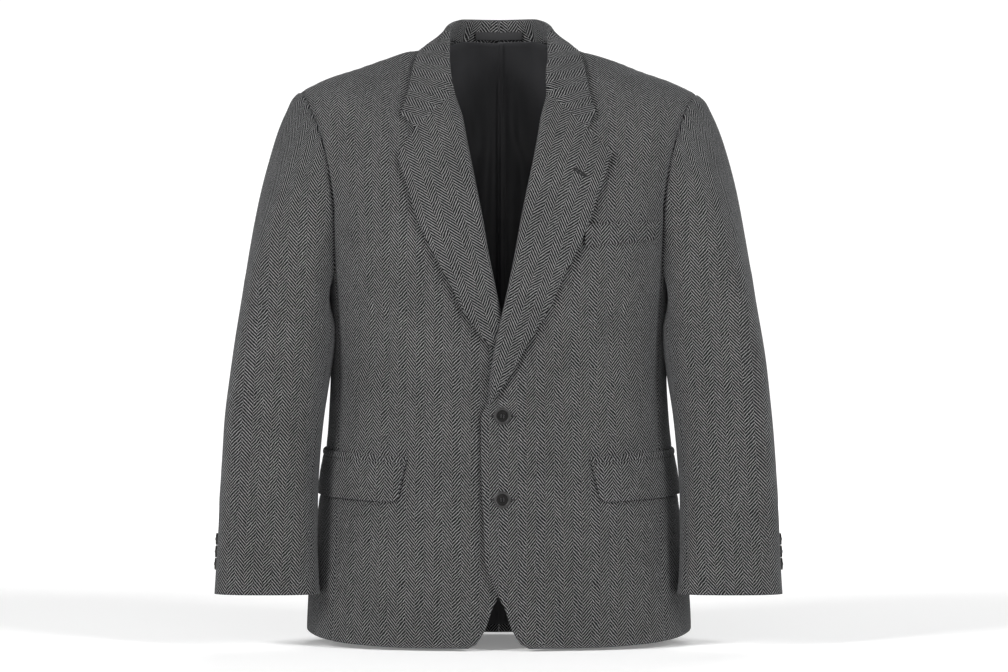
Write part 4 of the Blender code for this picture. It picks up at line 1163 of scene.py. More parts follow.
def jetting_cloth(side, columns=64):
    """Strip of cloth along the pocket mouth, rolled over the top of the flap."""
    front = float(angle_at(FLAP_FRONT[0] - 0.001, FLAP_FRONT[1]))
    angle = mix(front, FLAP_BACK[0] + 0.5, even(columns))[None, :]
    low = mix(FLAP_FRONT[1], FLAP_BACK[1], even(columns))[None, :]
    up = even(10)[:, None]
    grid = on_side(side, angle, low + JETTING * up, CLOTH + 0.0002 + 0.0011 * np.sin(math.pi * up) ** 0.7)
    flat_places = (seam_to(side, angle, low + 0 * up), low + JETTING * up + 0.0013)
    return grid, 0 * grid[..., 0], flat_places, facing(grid, (side * 0.6, -0.8, 0))


def welt_cloth(rows=24, columns=48):
    """Breast pocket's welt, sewn down at its lower edge and its ends."""
    x = np.linspace(WELT[0][0], WELT[-1][0], columns + 1)[None, :]
    high, low = along(WELT, 1, x), along(WELT, 2, x)
    down = even(rows)[:, None]
    z = mix(high, low, down)
    grid = on_front(1, x, z, CLOTH + 0.0002 + 0.0008 * (1 - down) ** 0.6)
    edges = from_edges(grid)
    rise = -0.0014 * bell(edges["bottom"], 0.0018) + unrest(grid, 0.0002, 23)
    start = front_inner(1, -0.22)
    return grid, rise, (start + (x - start) * 1.02 + 0 * z, z), facing(grid, (0, -1, 0))


def lining_cloth(side):
    """Half of the back's lining, with its yoke, middle pleat and soft drag lines."""
    x, z = back_places(64)
    down = np.linspace(0, 1, len(z))[:, None] ** 0.8
    top = z[:1]
    drop = -0.0052 + 0.0095 * ease((x[:1] - 0.6 * NECK_SIDE) / (0.5 * NECK_SIDE))
    z = z - drop * (1 - ease((top - z) / 0.08))
    z = z + (LINING_HEM - z[-1:]) * ease((down - 0.86) / 0.14)
    x = x * 0.985
    x[:, 0] += SEAM if side > 0 else -PLEAT
    close = respaced(np.stack((x, 0 * x, z), axis=-1), even(80) ** 1.7, axis=1)
    close = respaced(close, even(149))
    x, z = close[..., 0], close[..., 2]
    below = (EASE + LINING) * (0.5 - 0.5 * side) * ease((0.03 - x) / 0.02)
    rise = -(2 * LOOSE + LINING) - below
    yoke = YOKE - 0.03 * x
    open_it = ease((yoke - 0.001 - z) / 0.022)
    middle = bell(x, 0.0008) * ease((z + 0.6) / 0.1)
    pleat = bell(x - 0.0006, 0.0013) * open_it
    seam = bell(z - yoke, 0.0011) * ease((0.11 - x) / 0.02)
    fold = 0.0028 * bell(x - 0.0075, 0.0050) * open_it * (1.0 if side > 0 else 0.5)
    drag = 1.8 * creased(x, z, LINING_LEFT_CREASES if side > 0 else LINING_RIGHT_CREASES)
    rise = rise + fold + drag - 0.0008 - 0.0006 * middle - 0.0036 * pleat - 0.0009 * seam
    grid = on_back(side * x, z, rise)
    flat_places = (steps_along(grid, 1), cloth_height(grid))
    return grid, unrest(grid, 0.0004, 27 + side), flat_places, facing(grid, (0, -1, 0))


def hanger_cloth(columns=48):
    """Plain band across the back of the neck, on the inside of the stand."""
    _, stand, fold, _ = collar_half(1)
    x = np.linspace(-HANGER[0], HANGER[0], columns + 1)
    up = even(10)[:, None]
    z = mix(HANGER[1], HANGER[2], up)
    share = (z - stand[0, 2]) / (fold[0, 2] - stand[0, 2])
    y = mix(along(stand[:3], 1, np.abs(x)), along(fold[:3], 1, np.abs(x)), share)
    grid = points_at(x, y - CLOTH - 1.2 * LOOSE - LINING - 0.0004 * np.sin(math.pi * up), z)
    return grid, 0 * grid[..., 0], (grid[..., 0], grid[..., 2]), facing(grid, (0, -1, 0))


# ---------------------------------------------------------------- making meshes

def linked(name, data):
    """A new object in the scene."""
    made = bpy.data.objects.new(name, data)
    bpy.context.scene.collection.objects.link(made)
    return made


def smooth_mesh(name, points, faces):
    """Mesh from an array of points and a list of faces, shaded smooth."""
    mesh = bpy.data.meshes.new(name)
    mesh.from_pydata(points.reshape(-1, 3).tolist(), [], faces)
    mesh.polygons.foreach_set("use_smooth", [True] * len(faces))
    return mesh


def bevelled(piece, name, width, segments, angle):
    """Adds a bevel along all edges sharper than an angle."""
    soft = piece.modifiers.new(name, "BEVEL")
    soft.width, soft.segments = width, segments
    soft.limit_method, soft.angle_limit = "ANGLE", math.radians(angle)
    return soft


def sheet_of(name, form, wall, look, under_face=False):
    """Piece of cloth from a form: its outer face, its wall, soft edges and flat coordinates."""
    grid, rise, flat_places, normal = form
    grid = grid + normal * (rise + (0.0 if under_face else wall))[..., None]
    rows, columns = grid.shape[:2]
    r, c = rows // 2, columns // 2
    turned = np.dot(np.cross(grid[r, c + 1] - grid[r, c], grid[r + 1, c] - grid[r, c]), normal[r, c]) < 0
    corners = [i * columns + j for i in range(rows - 1) for j in range(columns - 1)]
    faces = [(a, a + 1, a + columns + 1, a + columns)[::-1 if turned else 1] for a in corners]
    mesh = smooth_mesh(name, grid, faces)
    flat_u, flat_v = (np.broadcast_to(part, grid.shape[:2]).ravel() for part in flat_places)
    corner = np.zeros(len(mesh.loops), dtype=np.int32)
    mesh.loops.foreach_get("vertex_index", corner)
    layer = mesh.uv_layers.new(name=WEAVE_MAP)
    layer.data.foreach_set("uv", np.column_stack((flat_u[corner], flat_v[corner])).ravel().astype(np.float32))
    piece = linked(name, mesh)
    mesh.materials.append(look)
    solid = piece.modifiers.new("Wall", "SOLIDIFY")
    solid.thickness = wall
    solid.offset = 1.0 if under_face else -1.0
    bevelled(piece, "Soft edge", wall * 0.32, 2, 55)
    return piece


def alone():
    """Deselects everything, so that an operator acts on new things only."""
    if bpy.context.object and bpy.context.object.mode != "OBJECT":
        bpy.ops.object.mode_set(mode="OBJECT")
    bpy.ops.object.select_all(action="DESELECT")


def pick(items):
    alone()
    for item in items:
        item.select_set(True)
    bpy.context.view_layer.objects.active = items[0]
    return items[0]


def pick_faces(piece, wanted):
    """Selects the faces whose middle and normal pass a test, in edit mode."""
    mesh = bmesh.from_edit_mesh(piece.data)
    bpy.ops.mesh.select_all(action="DESELECT")
    mesh.select_mode = {"FACE"}
    for face in mesh.faces:
        face.select_set(wanted(face.calc_center_median(), face.normal))
    bmesh.update_edit_mesh(piece.data)


def turned_button(name, radius, look):
    """Four-hole button on its own axis: back on the floor of its own space, face up."""
    thick = radius * BUTTON_DEPTH
    alone()
    bpy.ops.mesh.primitive_cylinder_add(vertices=56, radius=radius, depth=thick, location=(0, 0, thick / 2))
    piece = bpy.context.object
    piece.name = name
    bpy.ops.object.mode_set(mode="EDIT")
    for inset, move in BUTTON_STEPS:
        pick_faces(piece, lambda centre, normal: (
            normal.z > 0.9 and centre.z > thick * 0.5 and centre.xy.length < radius * 0.3))
        bpy.ops.mesh.inset(thickness=radius * inset)
        bpy.ops.transform.translate(value=(0, 0, thick * move))
    bpy.ops.object.mode_set(mode="OBJECT")
    bpy.ops.object.modifier_apply(modifier=bevelled(piece, "Round", radius * 0.06, 4, 28).name)
    holes = []
    for quarter in range(4):
        turn = math.radians(45 + 90 * quarter)
        alone()
        bpy.ops.mesh.primitive_cylinder_add(
            vertices=18, radius=radius * 0.085, depth=thick * 4,
            location=(math.cos(turn) * radius * 0.21, math.sin(turn) * radius * 0.21, 0))
        holes.append(bpy.context.object)
    tool = pick(holes)
    bpy.ops.object.join()
    pick([piece])
    cut = piece.modifiers.new("Holes", "BOOLEAN")
    cut.object = tool
    bpy.ops.object.modifier_apply(modifier=cut.name)
    bpy.data.objects.remove(tool)
    bpy.ops.object.shade_smooth_by_angle(angle=math.radians(35))
    piece.data.materials.append(look)
    rim = piece.data.attributes.new(RIM_POLISH, "FLOAT", "POINT")
    polished = [float(vertex.co.xy.length > radius * POLISHED_FROM) for vertex in piece.data.vertices]
    rim.data.foreach_set("value", polished)
    return piece


def thread_bars(name, radius, look):
    """Thread through a button's holes: two bars of three strands each, and the shank behind."""
    thick = radius * BUTTON_DEPTH
    strands = []
    for side in (-1, 1):
        for strand in (-1, 0, 1):
            alone()
            bpy.ops.mesh.primitive_cylinder_add(
                vertices=10, radius=radius * 0.036, depth=radius * 0.40,
                location=(side * radius * 0.148 + strand * radius * 0.052, 0,
                          thick * 0.66 + radius * 0.03 * (1 - abs(strand))),
                rotation=(math.radians(90), 0, 0))
            strands.append(bpy.context.object)
            bpy.ops.object.mode_set(mode="EDIT")
            bpy.ops.mesh.select_all(action="SELECT")
            bpy.ops.mesh.bevel(offset=radius * 0.02, segments=2, affect="EDGES")
            bpy.ops.object.mode_set(mode="OBJECT")
    alone()
    bpy.ops.mesh.primitive_cylinder_add(
        vertices=16, radius=radius * 0.22, depth=thick * 0.5, location=(0, 0, -thick * 0.1))
    strands.append(bpy.context.object)
    piece = pick(strands)
    bpy.ops.object.join()
    piece.name = name
    piece.data.name = name
    bpy.ops.object.transform_apply(location=True, rotation=True, scale=True)
    bpy.ops.object.shade_smooth()
    piece.data.materials.append(look)
    return piece


def set_on(piece, at, away, turn):
    """Moves a piece modelled on its own axis to a point, its face turned away, its place in its mesh."""
    spin = Matrix.Rotation(turn, 4, "Z")
    aim = Vector([float(part) for part in away]).to_track_quat("Z", "Y").to_matrix().to_4x4()
    piece.data.transform(Matrix.Translation([float(part) for part in at]) @ aim @ spin)
    piece.data.update()
    return piece


def copy_of(piece, name):
    made = linked(name, piece.data.copy())
    made.data.name = name
    return made


def gimp_loop(name, middle_points, out, half_width, look, strands=64):
    """Stitched edge of a buttonhole: a ridged cord round a slit that runs through the middle points."""
    start, end = (np.array(point, float) for point in middle_points)
    run = end - start
    length = np.linalg.norm(run)
    run /= length
    side = np.cross(out, run)
    path = np.array([
        (start + end) / 2 + run * (length / 2) * math.cos(step) + side * half_width * math.sin(step)
        for step in np.linspace(0, 2 * math.pi, strands * 4, endpoint=False)
    ])
    beside = np.cross(unit(np.roll(path, -1, axis=0) - np.roll(path, 1, axis=0)), out)
    ridge = 1 + 0.28 * np.cos(np.arange(len(path)) * math.pi / 2)
    radius = half_width * 0.70
    points = np.stack([
        path + (beside * math.cos(a) + np.array(out) * math.sin(a) * 0.75) * (radius * ridge)[:, None]
        for a in np.linspace(0, 2 * math.pi, 8, endpoint=False)
    ], axis=1)
    count, ring_size = points.shape[:2]
    faces = [
        (i * ring_size + j, i * ring_size + (j + 1) % ring_size,
         (i + 1) % count * ring_size + (j + 1) % ring_size, (i + 1) % count * ring_size + j)
        for i in range(count) for j in range(ring_size)
    ]
    piece = pick([linked(name, smooth_mesh(name, points, faces))])
    piece.data.materials.append(look)
    bpy.ops.object.mode_set(mode="EDIT")
    bpy.ops.mesh.select_all(action="SELECT")
    bpy.ops.mesh.normals_make_consistent(inside=False)
    bpy.ops.object.mode_set(mode="OBJECT")
    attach(piece, "root")
    return piece


# ---------------------------------------------------------------- finishes

class Signal:
    """Output of a shader node; arithmetic on it adds Math nodes."""

    def __init__(self, look, socket):
        self.look, self.socket = look, socket

    def math(self, operation, *others):
        return self.look.node("ShaderNodeMath", {"operation": operation}, dict(enumerate((self, *others))))

    def __add__(self, other):
        return self.math("ADD", other)

    def __sub__(self, other):
        return self.math("SUBTRACT", other)

    def __rsub__(self, other):
        return self * -1 + other

    def __mul__(self, other):
        return self.math("MULTIPLY", other)

    def __truediv__(self, other):
        return self.math("DIVIDE", other)

    def __mod__(self, other):
        return self.math("FLOORED_MODULO", other)

    def __pow__(self, other):
        return self.math("POWER", other)

    def __lt__(self, other):
        return self.math("LESS_THAN", other)

    def __gt__(self, other):
        return self.math("GREATER_THAN", other)

    def floor(self):
        return self.math("FLOOR")

    def arch(self):
        """Sine over half a turn while the signal goes from 0 to 1."""
        return (self * math.pi).math("SINE")

    __radd__ = __add__
    __rmul__ = __mul__


class Look:
    """Nodes of a material or a world, added one by one."""

    def __init__(self, block, shader="Principled BSDF"):
        self.block = block
        block.use_nodes = True
        self.tree = block.node_tree
        self.shader = self.tree.nodes[shader]

    def node(self, kind, settings=(), values=(), output=0):
        """A new node with its settings and the values or links of its sockets, as one of its outputs."""
        made = self.tree.nodes.new(kind)
        for key, value in dict(settings).items():
            setattr(made, key, value)
        for key, value in dict(values).items():
            if isinstance(value, Signal):
                self.tree.links.new(value.socket, made.inputs[key])
            else:
                made.inputs[key].default_value = value
        return Signal(self, made.outputs[output])

    def feed(self, **values):
        """Links or values for the shader's sockets; an underscore in a name stands for a space."""
        for key, value in values.items():
            socket = self.shader.inputs[key.replace("_", " ")]
            if isinstance(value, Signal):
                self.tree.links.new(value.socket, socket)
            else:
                socket.default_value = value
        return self.block

    def flat_cloth(self):
        """The cloth's own flat coordinates, in metres."""
        place = self.node("ShaderNodeUVMap", {"uv_map": WEAVE_MAP})
        return (
            self.node("ShaderNodeSeparateXYZ", values={0: place}, output=0),
            self.node("ShaderNodeSeparateXYZ", values={0: place}, output=1),
        )

    def at(self, x, y, z=0.0):
        return self.node("ShaderNodeCombineXYZ", values={0: x, 1: y, 2: z})

    def noise(self, place, scale, detail=2.0, kind="FBM"):
        return self.node(
            "ShaderNodeTexNoise", {"noise_dimensions": "3D", "noise_type": kind},
            {"Vector": place, "Scale": scale, "Detail": detail, "Roughness": 0.55}, output=0)

    def body_place(self):
        return self.node("ShaderNodeTexCoord", output=3)

    def blend(self, share, first, second, way="MIX"):
        """Mix of two colours."""
        return self.node(
            "ShaderNodeMix", {"data_type": "RGBA", "blend_type": way, "clamp_factor": True},
            {0: share, 6: first, 7: second}, output=2)

    def bump(self, height, distance):
        return self.node("ShaderNodeBump", values={"Strength": 1.0, "Distance": distance, "Height": height})

    def vector(self, operation, *values, output=0):
        """Vector Math; with SCALE the second value is the share."""
        keys = (0, "Scale") if operation == "SCALE" else (0, 1)
        return self.node("ShaderNodeVectorMath", {"operation": operation}, dict(zip(keys, values)), output)


def solid_colour(colour):
    return (*colour, 1.0)


def tweed_look(sizes):
    """Herringbone tweed: a 2/2 twill whose lines turn at every column, pale warp over dark weft, with painted
    shade on and between the yarns.
    """
    look = Look(bpy.data.materials.new("tweed"))
    u, v = look.flat_cloth()
    body = look.body_place()
    column = float(sizes.column_ends)
    drift = look.noise(look.at(u, v, 3.0), 34.0, 2.0) - 0.5
    jitter = look.noise(look.at(u, v, 5.0), 210.0, 1.0) - 0.5
    end = u / sizes.end_width + drift * 2.4 + jitter * 0.5
    pick = v / sizes.pick_width + drift * 3.2 + jitter * 1.5
    end_number, pick_number = end.floor(), pick.floor()
    across_end, across_pick = end - end_number, pick - pick_number
    in_pair = end_number % (2 * column)
    second = in_pair > column - 0.5
    step = in_pair + second * (2 * column + 1 - 2 * in_pair)
    phase = (step + pick_number) % 4.0
    warp_up = phase < 1.5
    lean = 1 - 2 * second
    along_weft = (phase - 2 + second + across_end * lean) * 0.5
    warp = across_end.arch() * ((phase + across_pick) * 0.5).arch().math("ABSOLUTE") ** 0.5
    weft = across_pick.arch() * along_weft.arch().math("ABSOLUTE") ** 0.5
    height = warp * warp_up + weft * (1 - warp_up) * 0.85
    twill = (step + (across_end - 0.5) * lean + pick - 1) * (math.pi / 2)
    # The twill's pale line is the cloth's own pattern; its steep fall-off to the line's edges is painted
    # shade between the yarns.
    line = twill.math("COSINE").math("MAXIMUM", 0.0) ** 2.2

    slub = look.noise(look.at(end_number * 3.7, v * 90.0), 1.0, 2.0)
    slub_weft = look.noise(look.at(pick_number * 3.7, u * 90.0, 9.0), 1.0, 2.0)
    fibre = look.noise(look.at(u, v), 2600.0, 2.0)
    mottle = look.noise(body, 19.0, 2.0)
    fleck = look.noise(look.at(u, v, 0.5), 760.0, 0.0)
    pale = (slub - 0.5) * 1.7 + (fibre - 0.5) * 0.6 + 1.0
    dark = (slub_weft - 0.5) * 0.9 + (fibre - 0.5) * 0.7 + 1.0
    # Random large mottle, times painted shade: each yarn darker towards its edges and ends by its height, the
    # lower weft more so.
    mottle_and_yarn_shade = (1 + (mottle - 0.5) * 0.36) * (0.70 + 0.30 * height)
    light_yarn = look.vector("SCALE", tuple(sizes.light_yarn), pale * mottle_and_yarn_shade)
    dark_yarn = look.vector("SCALE", tuple(sizes.dark_yarn), dark * mottle_and_yarn_shade)
    woven = look.blend(line, dark_yarn, light_yarn)
    spot = ((fleck - 0.70) * 7.0).math("MAXIMUM", 0.0) * 0.6
    woven = look.blend(spot, woven, solid_colour([part * 1.1 for part in sizes.light_yarn]))
    fuzz = look.noise(body, 900.0, 3.0)
    return look.feed(
        Base_Color=woven,
        Roughness=0.84 + 0.14 * fibre,
        Normal=look.bump(height + (fuzz - 0.5) * 0.6, 0.00022),
        Specular_IOR_Level=0.10, Sheen_Weight=0.08, Sheen_Roughness=0.5,
        Sheen_Tint=(0.80, 0.82, 0.86, 1.0),
    )


def lining_look(sizes, name="lining", share=1.0):
    """Smooth dark lining: a fine satin with faint lines along its warp; a share below 1 darkens the whole
    piece as painted shade.
    """
    look = Look(bpy.data.materials.new(name))
    u, v = look.flat_cloth()
    body = look.body_place()
    lines = look.noise(look.at(u * 1500.0, v * 26.0), 1.0, 2.0)
    cloud = look.noise(body, 24.0, 2.0)
    # share below 1 is painted shade over the whole piece; only the hanger band uses it.
    shade = (0.80 + 0.30 * lines + 0.24 * cloud) * share
    return look.feed(
        Base_Color=look.vector("SCALE", tuple(sizes.lining_colour), shade),
        Roughness=0.52 + 0.16 * lines,
        Normal=look.bump(lines, 0.00006),
        Specular_IOR_Level=0.22, Sheen_Weight=0.04, Sheen_Roughness=0.4,
    )


def button_look(sizes):
    """Dark horn: smoky streaks under a soft polish, with a painted highlight that makes its sharpest convex
    edges paler.
    """
    look = Look(bpy.data.materials.new("button"))
    body = look.body_place()
    streak = look.noise(look.vector("MULTIPLY", body, (1.0, 1.0, 0.35)), 240.0, 4.0)
    cloud = look.noise(body, 90.0, 2.0)
    painted_edge_highlight = look.node("ShaderNodeNewGeometry", output=7)
    # Streaks at random, plus a painted highlight: 10 % towards the streak colour on the sharpest convex
    # edges, by pointiness.
    share = (streak - 0.34) * 1.6 * cloud + (painted_edge_highlight > 0.56) * 0.10
    colour = look.blend(share, solid_colour(sizes.button_colour), solid_colour(sizes.button_streak_and_highlight))
    scratch = look.noise(body, 1600.0, 2.0)
    return look.feed(
        Base_Color=colour,
        Roughness=0.36 + 0.16 * cloud + 0.06 * scratch,
        Normal=look.bump(scratch, 0.00001),
        Coat_Weight=look.node("ShaderNodeAttribute", {"attribute_name": RIM_POLISH}, output=2) * 0.8,
        Specular_IOR_Level=0.06, Coat_Roughness=0.30,
    )


def thread_look(sizes):
    """Twisted sewing thread and buttonhole gimp, with painted shade in the grooves of its twist."""
    look = Look(bpy.data.materials.new("thread"))
    body = look.body_place()
    twist = look.node(
        "ShaderNodeTexWave", {"wave_type": "BANDS", "bands_direction": "DIAGONAL"},
        {"Vector": body, "Scale": 620.0, "Distortion": 1.2, "Detail": 1.0}, output=1)
    fuzz = look.noise(body, 1500.0, 2.0)
    # The twist's bands are painted shade in its grooves, down to 0.45 of the colour; the fuzz varies the tone
    # at random.
    share = twist * 0.6 + fuzz * 0.4
    dark = [part * 0.45 for part in sizes.thread_colour]
    colour = look.blend(share, solid_colour(dark), solid_colour(sizes.thread_colour))
    return look.feed(
        Base_Color=colour,
        Roughness=0.62 + 0.2 * fuzz,
        Normal=look.bump(twist, 0.00008),
        Specular_IOR_Level=0.3, Sheen_Weight=0.15,
    )


def floor_look(sizes):
    """Pale matt floor with a barely visible grain, glowing more towards its far edge."""
    look = Look(bpy.data.materials.new("floor"))
    grain = look.noise(look.body_place(), 60.0, 3.0)
    away = look.vector("LENGTH", look.body_place(), output=1)
    glow = look.blend((away - 1.2) * 0.6, solid_colour((0.4, 0.4, 0.4)), solid_colour((1.0, 1.0, 1.0)))
    return look.feed(
        Base_Color=look.vector("SCALE", tuple(sizes.floor_colour), 0.99 + 0.02 * grain),
        Roughness=0.85 + 0.1 * grain, Specular_IOR_Level=0.1,
        Emission_Color=glow, Emission_Strength=0.50)


FINISHES = {
    "tweed": tweed_look, "lining": lining_look, "button": button_look,
    "thread": thread_look, "floor": floor_look,
    # Hanger band: the lining's finish at 0.45 of its colour, painted shade for the shade inside the neck.
    "hanger": lambda sizes: lining_look(sizes, "hanger", 0.45),
}


def finish(context, name):
    """The named material, made at its first use."""
    full_name = name + "_finish"
    made = bpy.data.materials.get(full_name) or FINISHES[name](context.scene.jacket)
    made.name = full_name
    return made


# ---------------------------------------------------------------- sizes and colours

def colour_of(name, about, value):
    return FloatVectorProperty(
        name=name, description="Colour of " + about, subtype="COLOR", default=value, min=0.0, max=1.0)


class JacketSizes(bpy.types.PropertyGroup):
    """What a user may change before the pieces are made again."""

    end_width: FloatProperty(
        name="End width", description="Width of one warp yarn in the weave",
        default=0.00091, min=0.0002, max=0.01, precision=5, unit="LENGTH")
    pick_width: FloatProperty(
        name="Pick width", description="Height of one weft yarn in the weave",
        default=0.00105, min=0.0002, max=0.01, precision=5, unit="LENGTH")
    column_ends: IntProperty(
        name="Ends in a column", description="Warp yarns in one column of the herringbone",
        default=12, min=4, max=60)
    light_yarn: colour_of("Pale yarn", "the warp", (0.258, 0.259, 0.261))
    dark_yarn: colour_of("Dark yarn", "the weft", (0.0066, 0.0066, 0.0070))
    # The hanger band takes 0.45 of this colour, as painted shade.
    lining_colour: colour_of("Lining", "the lining and the hanger band", (0.0370, 0.0370, 0.0395))
    button_colour: colour_of("Button", "the buttons' horn", (0.008, 0.008, 0.008))
    # The paler streaks, also used for the painted highlight on the buttons' sharpest edges.
    button_streak_and_highlight: colour_of("Button streaks", "the paler streaks in the buttons", (0.040, 0.037, 0.036))
    thread_colour: colour_of("Thread", "the sewing thread and the buttonholes", (0.013, 0.013, 0.014))
    floor_colour: colour_of("Floor", "the floor", (0.95, 0.95, 0.95))


# Each piece of cloth as it is cut: width and length in metres, and how much of that rectangle it fills.
# One line serves a pair that is cut alike.
CUTS = {
    "front_left": (0.268, 0.786, 0.69),
    "front_right": (0.276, 0.79, 0.68),
    "back": (0.287, 0.78, 0.65),
    "side": (0.19, 0.462, 0.72),
    "sleeve_top": (0.32, 0.62, 0.74),
    "sleeve_under": (0.138, 0.495, 0.65),
    "lapel_left": (0.109, 0.391, 0.6),
    "lapel_right": (0.103, 0.362, 0.6),
    "collar": (0.512, 0.162, 0.4),
    "flap": (0.192, 0.056, 0.84),
    "jetting": (0.186, 0.015, 0.43),
    "breast_welt": (0.089, 0.031, 0.89),
    "lining_left": (0.263, 0.746, 0.71),
    "lining_right": (0.267, 0.745, 0.72),
    "hanger_band": (0.058, 0.011, 0.94),
}


def lay(context, name, form, look="tweed", wall=CLOTH, under_face=False):
    """Makes one piece of cloth from its form and hides the model's part of that name; its cut is looked up
    but not declared.
    """
    width, length, share = CUTS.get(name) or CUTS[name.rsplit("_", 1)[0]]
    piece = sheet_of(name + "_cloth", form, wall, finish(context, look), under_face)
    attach(piece, "root")
    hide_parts(name)
    width * length * share
    return piece


SIDES = (("left", 1), ("right", -1))


class JACKET_OT_fronts(bpy.types.Operator):
    """Two fronts, each from the shoulder and armhole down to its rounded cutaway"""

    bl_idname = "jacket.fronts"
    bl_label = "Fronts"

    def execute(self, context):
        for name, side in SIDES:
            lay(context, "front_" + name, front_panel(side))
        return {"FINISHED"}


class JACKET_OT_back(bpy.types.Operator):
    """Two halves of the back, joined at the centre seam, and the side bodies"""

    bl_idname = "jacket.back"
    bl_label = "Back and side bodies"

    def execute(self, context):
        for name, side in SIDES:
            lay(context, "back_" + name, back_panel(side))
            lay(context, "side_" + name, side_panel(side))
        return {"FINISHED"}


class JACKET_OT_sleeves(bpy.types.Operator):
    """Top sleeves and under sleeves, set into the armholes"""

    bl_idname = "jacket.sleeves"
    bl_label = "Sleeves"

    def execute(self, context):
        for name, side in SIDES:
            top = sleeve_panel(side, ELBOW_SEAM, FOREARM_SEAM, 96)
            under = sleeve_panel(side, FOREARM_SEAM, 360 + ELBOW_SEAM, 44)
            lay(context, "sleeve_top_" + name, top)
            lay(context, "sleeve_under_" + name, under)
        return {"FINISHED"}


class JACKET_OT_lapels(bpy.types.Operator):
    """Lapels turned back over the fronts, and the collar with its stand and fall"""

    bl_idname = "jacket.lapels"
    bl_label = "Lapels and collar"

    def execute(self, context):
        for name, side in SIDES:
            lay(context, "lapel_" + name, lapel_cloth(side), under_face=True)
        lay(context, "collar", collar_cloth(), under_face=True)
        return {"FINISHED"}


class JACKET_OT_pockets(bpy.types.Operator):
    """Hip pocket flaps under their jettings, and the breast welt"""

    bl_idname = "jacket.pockets"
    bl_label = "Pockets"

    def execute(self, context):
        for name, side in SIDES:
            lay(context, "flap_" + name, flap_cloth(side), under_face=True)
            lay(context, "jetting_" + name, jetting_cloth(side), under_face=True)
        lay(context, "breast_welt", welt_cloth(), under_face=True)
        return {"FINISHED"}


class JACKET_OT_lining(bpy.types.Operator):
    """Lining of the back in two halves with a pleat, and the plain hanger band at the neck"""

    bl_idname = "jacket.lining"
    bl_label = "Lining and hanger band"

    def execute(self, context):
        for name, side in SIDES:
            lay(context, "lining_" + name, lining_cloth(side), look="lining", wall=LINING)
        lay(context, "hanger_band", hanger_cloth(), look="hanger", wall=LINING)
        return {"FINISHED"}


def front_button_place(z):
    """Seat and direction of a front button."""
    ahead = outward(on_front, 1, BUTTON_X, z)
    return on_front(1, BUTTON_X, z) + ahead * (CLOTH + SEAM + 0.0010), ahead


def cuff_button_place(side, z):
    """Seat and direction of a cuff button, on the sleeve's outer edge."""
    down = 1 + (z - CAP_END) / (CUFF - CAP_END)
    here, above = sleeve(side, 0.0, down), sleeve(side, 0.0, down - 0.02)
    away = unit(np.cross(above - here, (0.0, 1.0, 0.0)))
    away = away * side * np.sign(away[0])
    return here.ravel() + away * (CLOTH + 0.0009), away


class JACKET_OT_buttons(bpy.types.Operator):
    """Four-hole horn buttons on the front and at the cuffs, each sewn on with thread"""

    bl_idname = "jacket.buttons"
    bl_label = "Buttons"

    def execute(self, context):
        large, small = (
            (turned_button(size + "_button", radius, finish(context, "button")),
             thread_bars(size + "_thread", radius, finish(context, "thread")))
            for size, radius in (("large", FRONT_BUTTON_RADIUS), ("small", CUFF_BUTTON_RADIUS))
        )
        for word, z, turn in zip(("top", "bottom"), FRONT_BUTTONS, (-5, 8)):
            sew_on("front_button_" + word, large, front_button_place(z), math.radians(turn))
        for word, side in SIDES:
            for number, z in enumerate(CUFF_BUTTONS):
                name = f"cuff_button_{word}_{number + 1}"
                sew_on(name, small, cuff_button_place(side, z), math.radians(11 * number))
        for pattern in (*large, *small):
            bpy.data.objects.remove(pattern)
        return {"FINISHED"}


def sew_on(name, pattern, place, turn):
    """A copy of a button and its thread, set at a place."""
    button, thread = pattern
    piece = set_on(copy_of(button, name + "_horn"), *place, turn)
    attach(piece, "root")
    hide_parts(name)
    tie = set_on(copy_of(thread, name + "_thread"), *place, turn)
    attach(tie, "root")


class JACKET_OT_buttonholes(bpy.types.Operator):
    """Hand-stitched buttonholes: one under each front button and one on the wearer's left lapel"""

    bl_idname = "jacket.buttonholes"
    bl_label = "Buttonholes"

    def execute(self, context):
        thread = finish(context, "thread")
        for number, z in enumerate(FRONT_BUTTONS):
            ends = [on_front(1, x, z, CLOTH + 0.0004) for x in (-0.0100, 0.0188)]
            gimp_loop(f"front_buttonhole_{number + 1}", ends, outward(on_front, 1, 0.002, z), 0.0010, thread)
        grid, rise, _, normal = lapel_cloth(1)
        grid, normal = (part[:, 14:].reshape(-1, 3) for part in (grid + normal * (CLOTH + 0.0003), normal))
        ends = []
        for x, z in LAPEL_HOLE:
            near = np.exp(-((grid[:, 0] - x) ** 2 + (grid[:, 2] - z) ** 2) / 0.002 ** 2)[:, None]
            place, out = (grid * near).sum(axis=0) / near.sum(), unit((normal * near).sum(axis=0))
            ends.append(place)
        gimp_loop("lapel_buttonhole", ends, out, 0.0015, thread)
        return {"FINISHED"}


FLOOR = -0.7085
CAMERA = (0.0063, -4.6, -0.341)
FOCAL_LENGTH = 136.9
# Lamps: name, place, point it is aimed at, width and height, power
LAMPS = (
    ("left", (-3.1, -3.1, 1.7), (0.0, 0.0, -0.35), (1.2, 2.0), 174.0),
    ("right", (3.1, -3.1, 1.7), (0.0, 0.0, -0.35), (1.2, 2.0), 144.0),
    ("front", (0.2, -4.4, 0.6), (0.0, 0.0, -0.35), (2.0, 1.2), 26.0),
    ("back", (0.8, 3.6, 1.8), (0.0, 0.0, -0.30), (3.0, 2.0), 90.0),
)


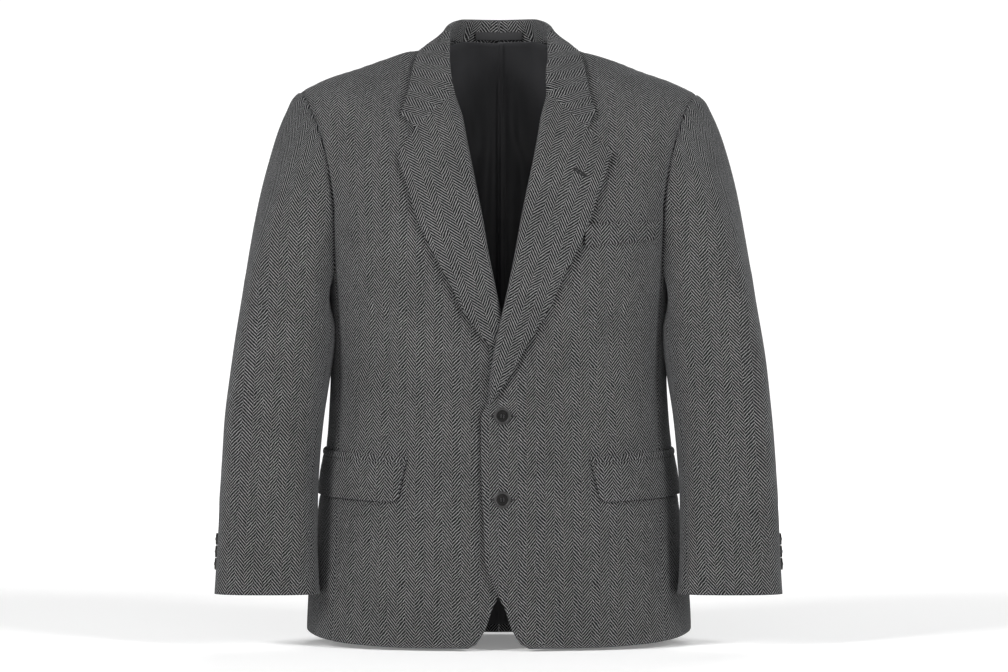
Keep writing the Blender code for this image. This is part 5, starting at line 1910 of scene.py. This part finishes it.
class JACKET_OT_stage(bpy.types.Operator):
    """Pale floor, soft light and the camera"""

    bl_idname = "jacket.stage"
    bl_label = "Stage"

    def execute(self, context):
        scene = context.scene
        alone()
        bpy.ops.mesh.primitive_plane_add(size=8.0, location=(0, 0, 0))
        ground = context.object
        ground.name = "floor"
        ground.data.transform(Matrix.Translation((0, 0, FLOOR)))
        ground.data.materials.append(finish(context, "floor"))
        scene.world = studio_world()
        for name, place, aim, size, power in LAMPS:
            lamp = bpy.data.lights.new(name, "AREA")
            lamp.shape = "RECTANGLE"
            lamp.size, lamp.size_y = size
            lamp.energy = power
            holder = linked(name, lamp)
            holder.location = place
            holder.rotation_euler = (Vector(aim) - Vector(place)).to_track_quat("-Z", "Y").to_euler()
        lens = bpy.data.cameras.new("camera")
        lens.lens = FOCAL_LENGTH
        lens.sensor_width = 36.0
        lens.clip_end = 60.0
        camera = linked("camera", lens)
        camera.location = CAMERA
        camera.rotation_euler = (math.radians(90), 0, 0)
        scene.camera = camera
        scene.view_settings.view_transform = "Standard"
        scene.view_settings.look = "None"
        return {"FINISHED"}


def studio_world():
    """A white room all round under a darker ceiling."""
    sky = Look(bpy.data.worlds.new("studio"), "Background")
    height = sky.node("ShaderNodeSeparateXYZ", values={0: sky.body_place()}, output=2)
    level = sky.node(
        "ShaderNodeMapRange", {"interpolation_type": "SMOOTHSTEP"},
        {"Value": height, "From Min": 0.03, "From Max": 0.50, "To Min": 1.12, "To Max": 0.04})
    return sky.feed(Color=(1.0, 1.0, 1.0, 1.0), Strength=level)


class JACKET_PT_panel(bpy.types.Panel):
    """Lists the pieces and the sizes that they are made from"""

    bl_idname = "JACKET_PT_panel"
    bl_label = "Jacket"
    bl_space_type = "VIEW_3D"
    bl_region_type = "UI"
    bl_category = "Jacket"

    def draw(self, context):
        sizes = context.scene.jacket
        for key in sizes.bl_rna.properties.keys():
            if key not in ("rna_type", "name"):
                self.layout.prop(sizes, key)
        for step in STEPS:
            self.layout.operator(step.bl_idname)


STEPS = (
    JACKET_OT_fronts, JACKET_OT_back, JACKET_OT_sleeves, JACKET_OT_lapels, JACKET_OT_pockets,
    JACKET_OT_lining, JACKET_OT_buttons, JACKET_OT_buttonholes, JACKET_OT_stage,
)
CLASSES = (JacketSizes, *STEPS, JACKET_PT_panel)


def register():
    for made in CLASSES:
        bpy.utils.register_class(made)
    bpy.types.Scene.jacket = PointerProperty(type=JacketSizes)


def unregister():
    del bpy.types.Scene.jacket
    for made in reversed(CLASSES):
        bpy.utils.unregister_class(made)


def main():
    """Makes every piece in order."""
    register()
    for step in STEPS:
        group, name = step.bl_idname.split(".")
        getattr(getattr(bpy.ops, group), name)()


if __name__ == "__main__":
    main()
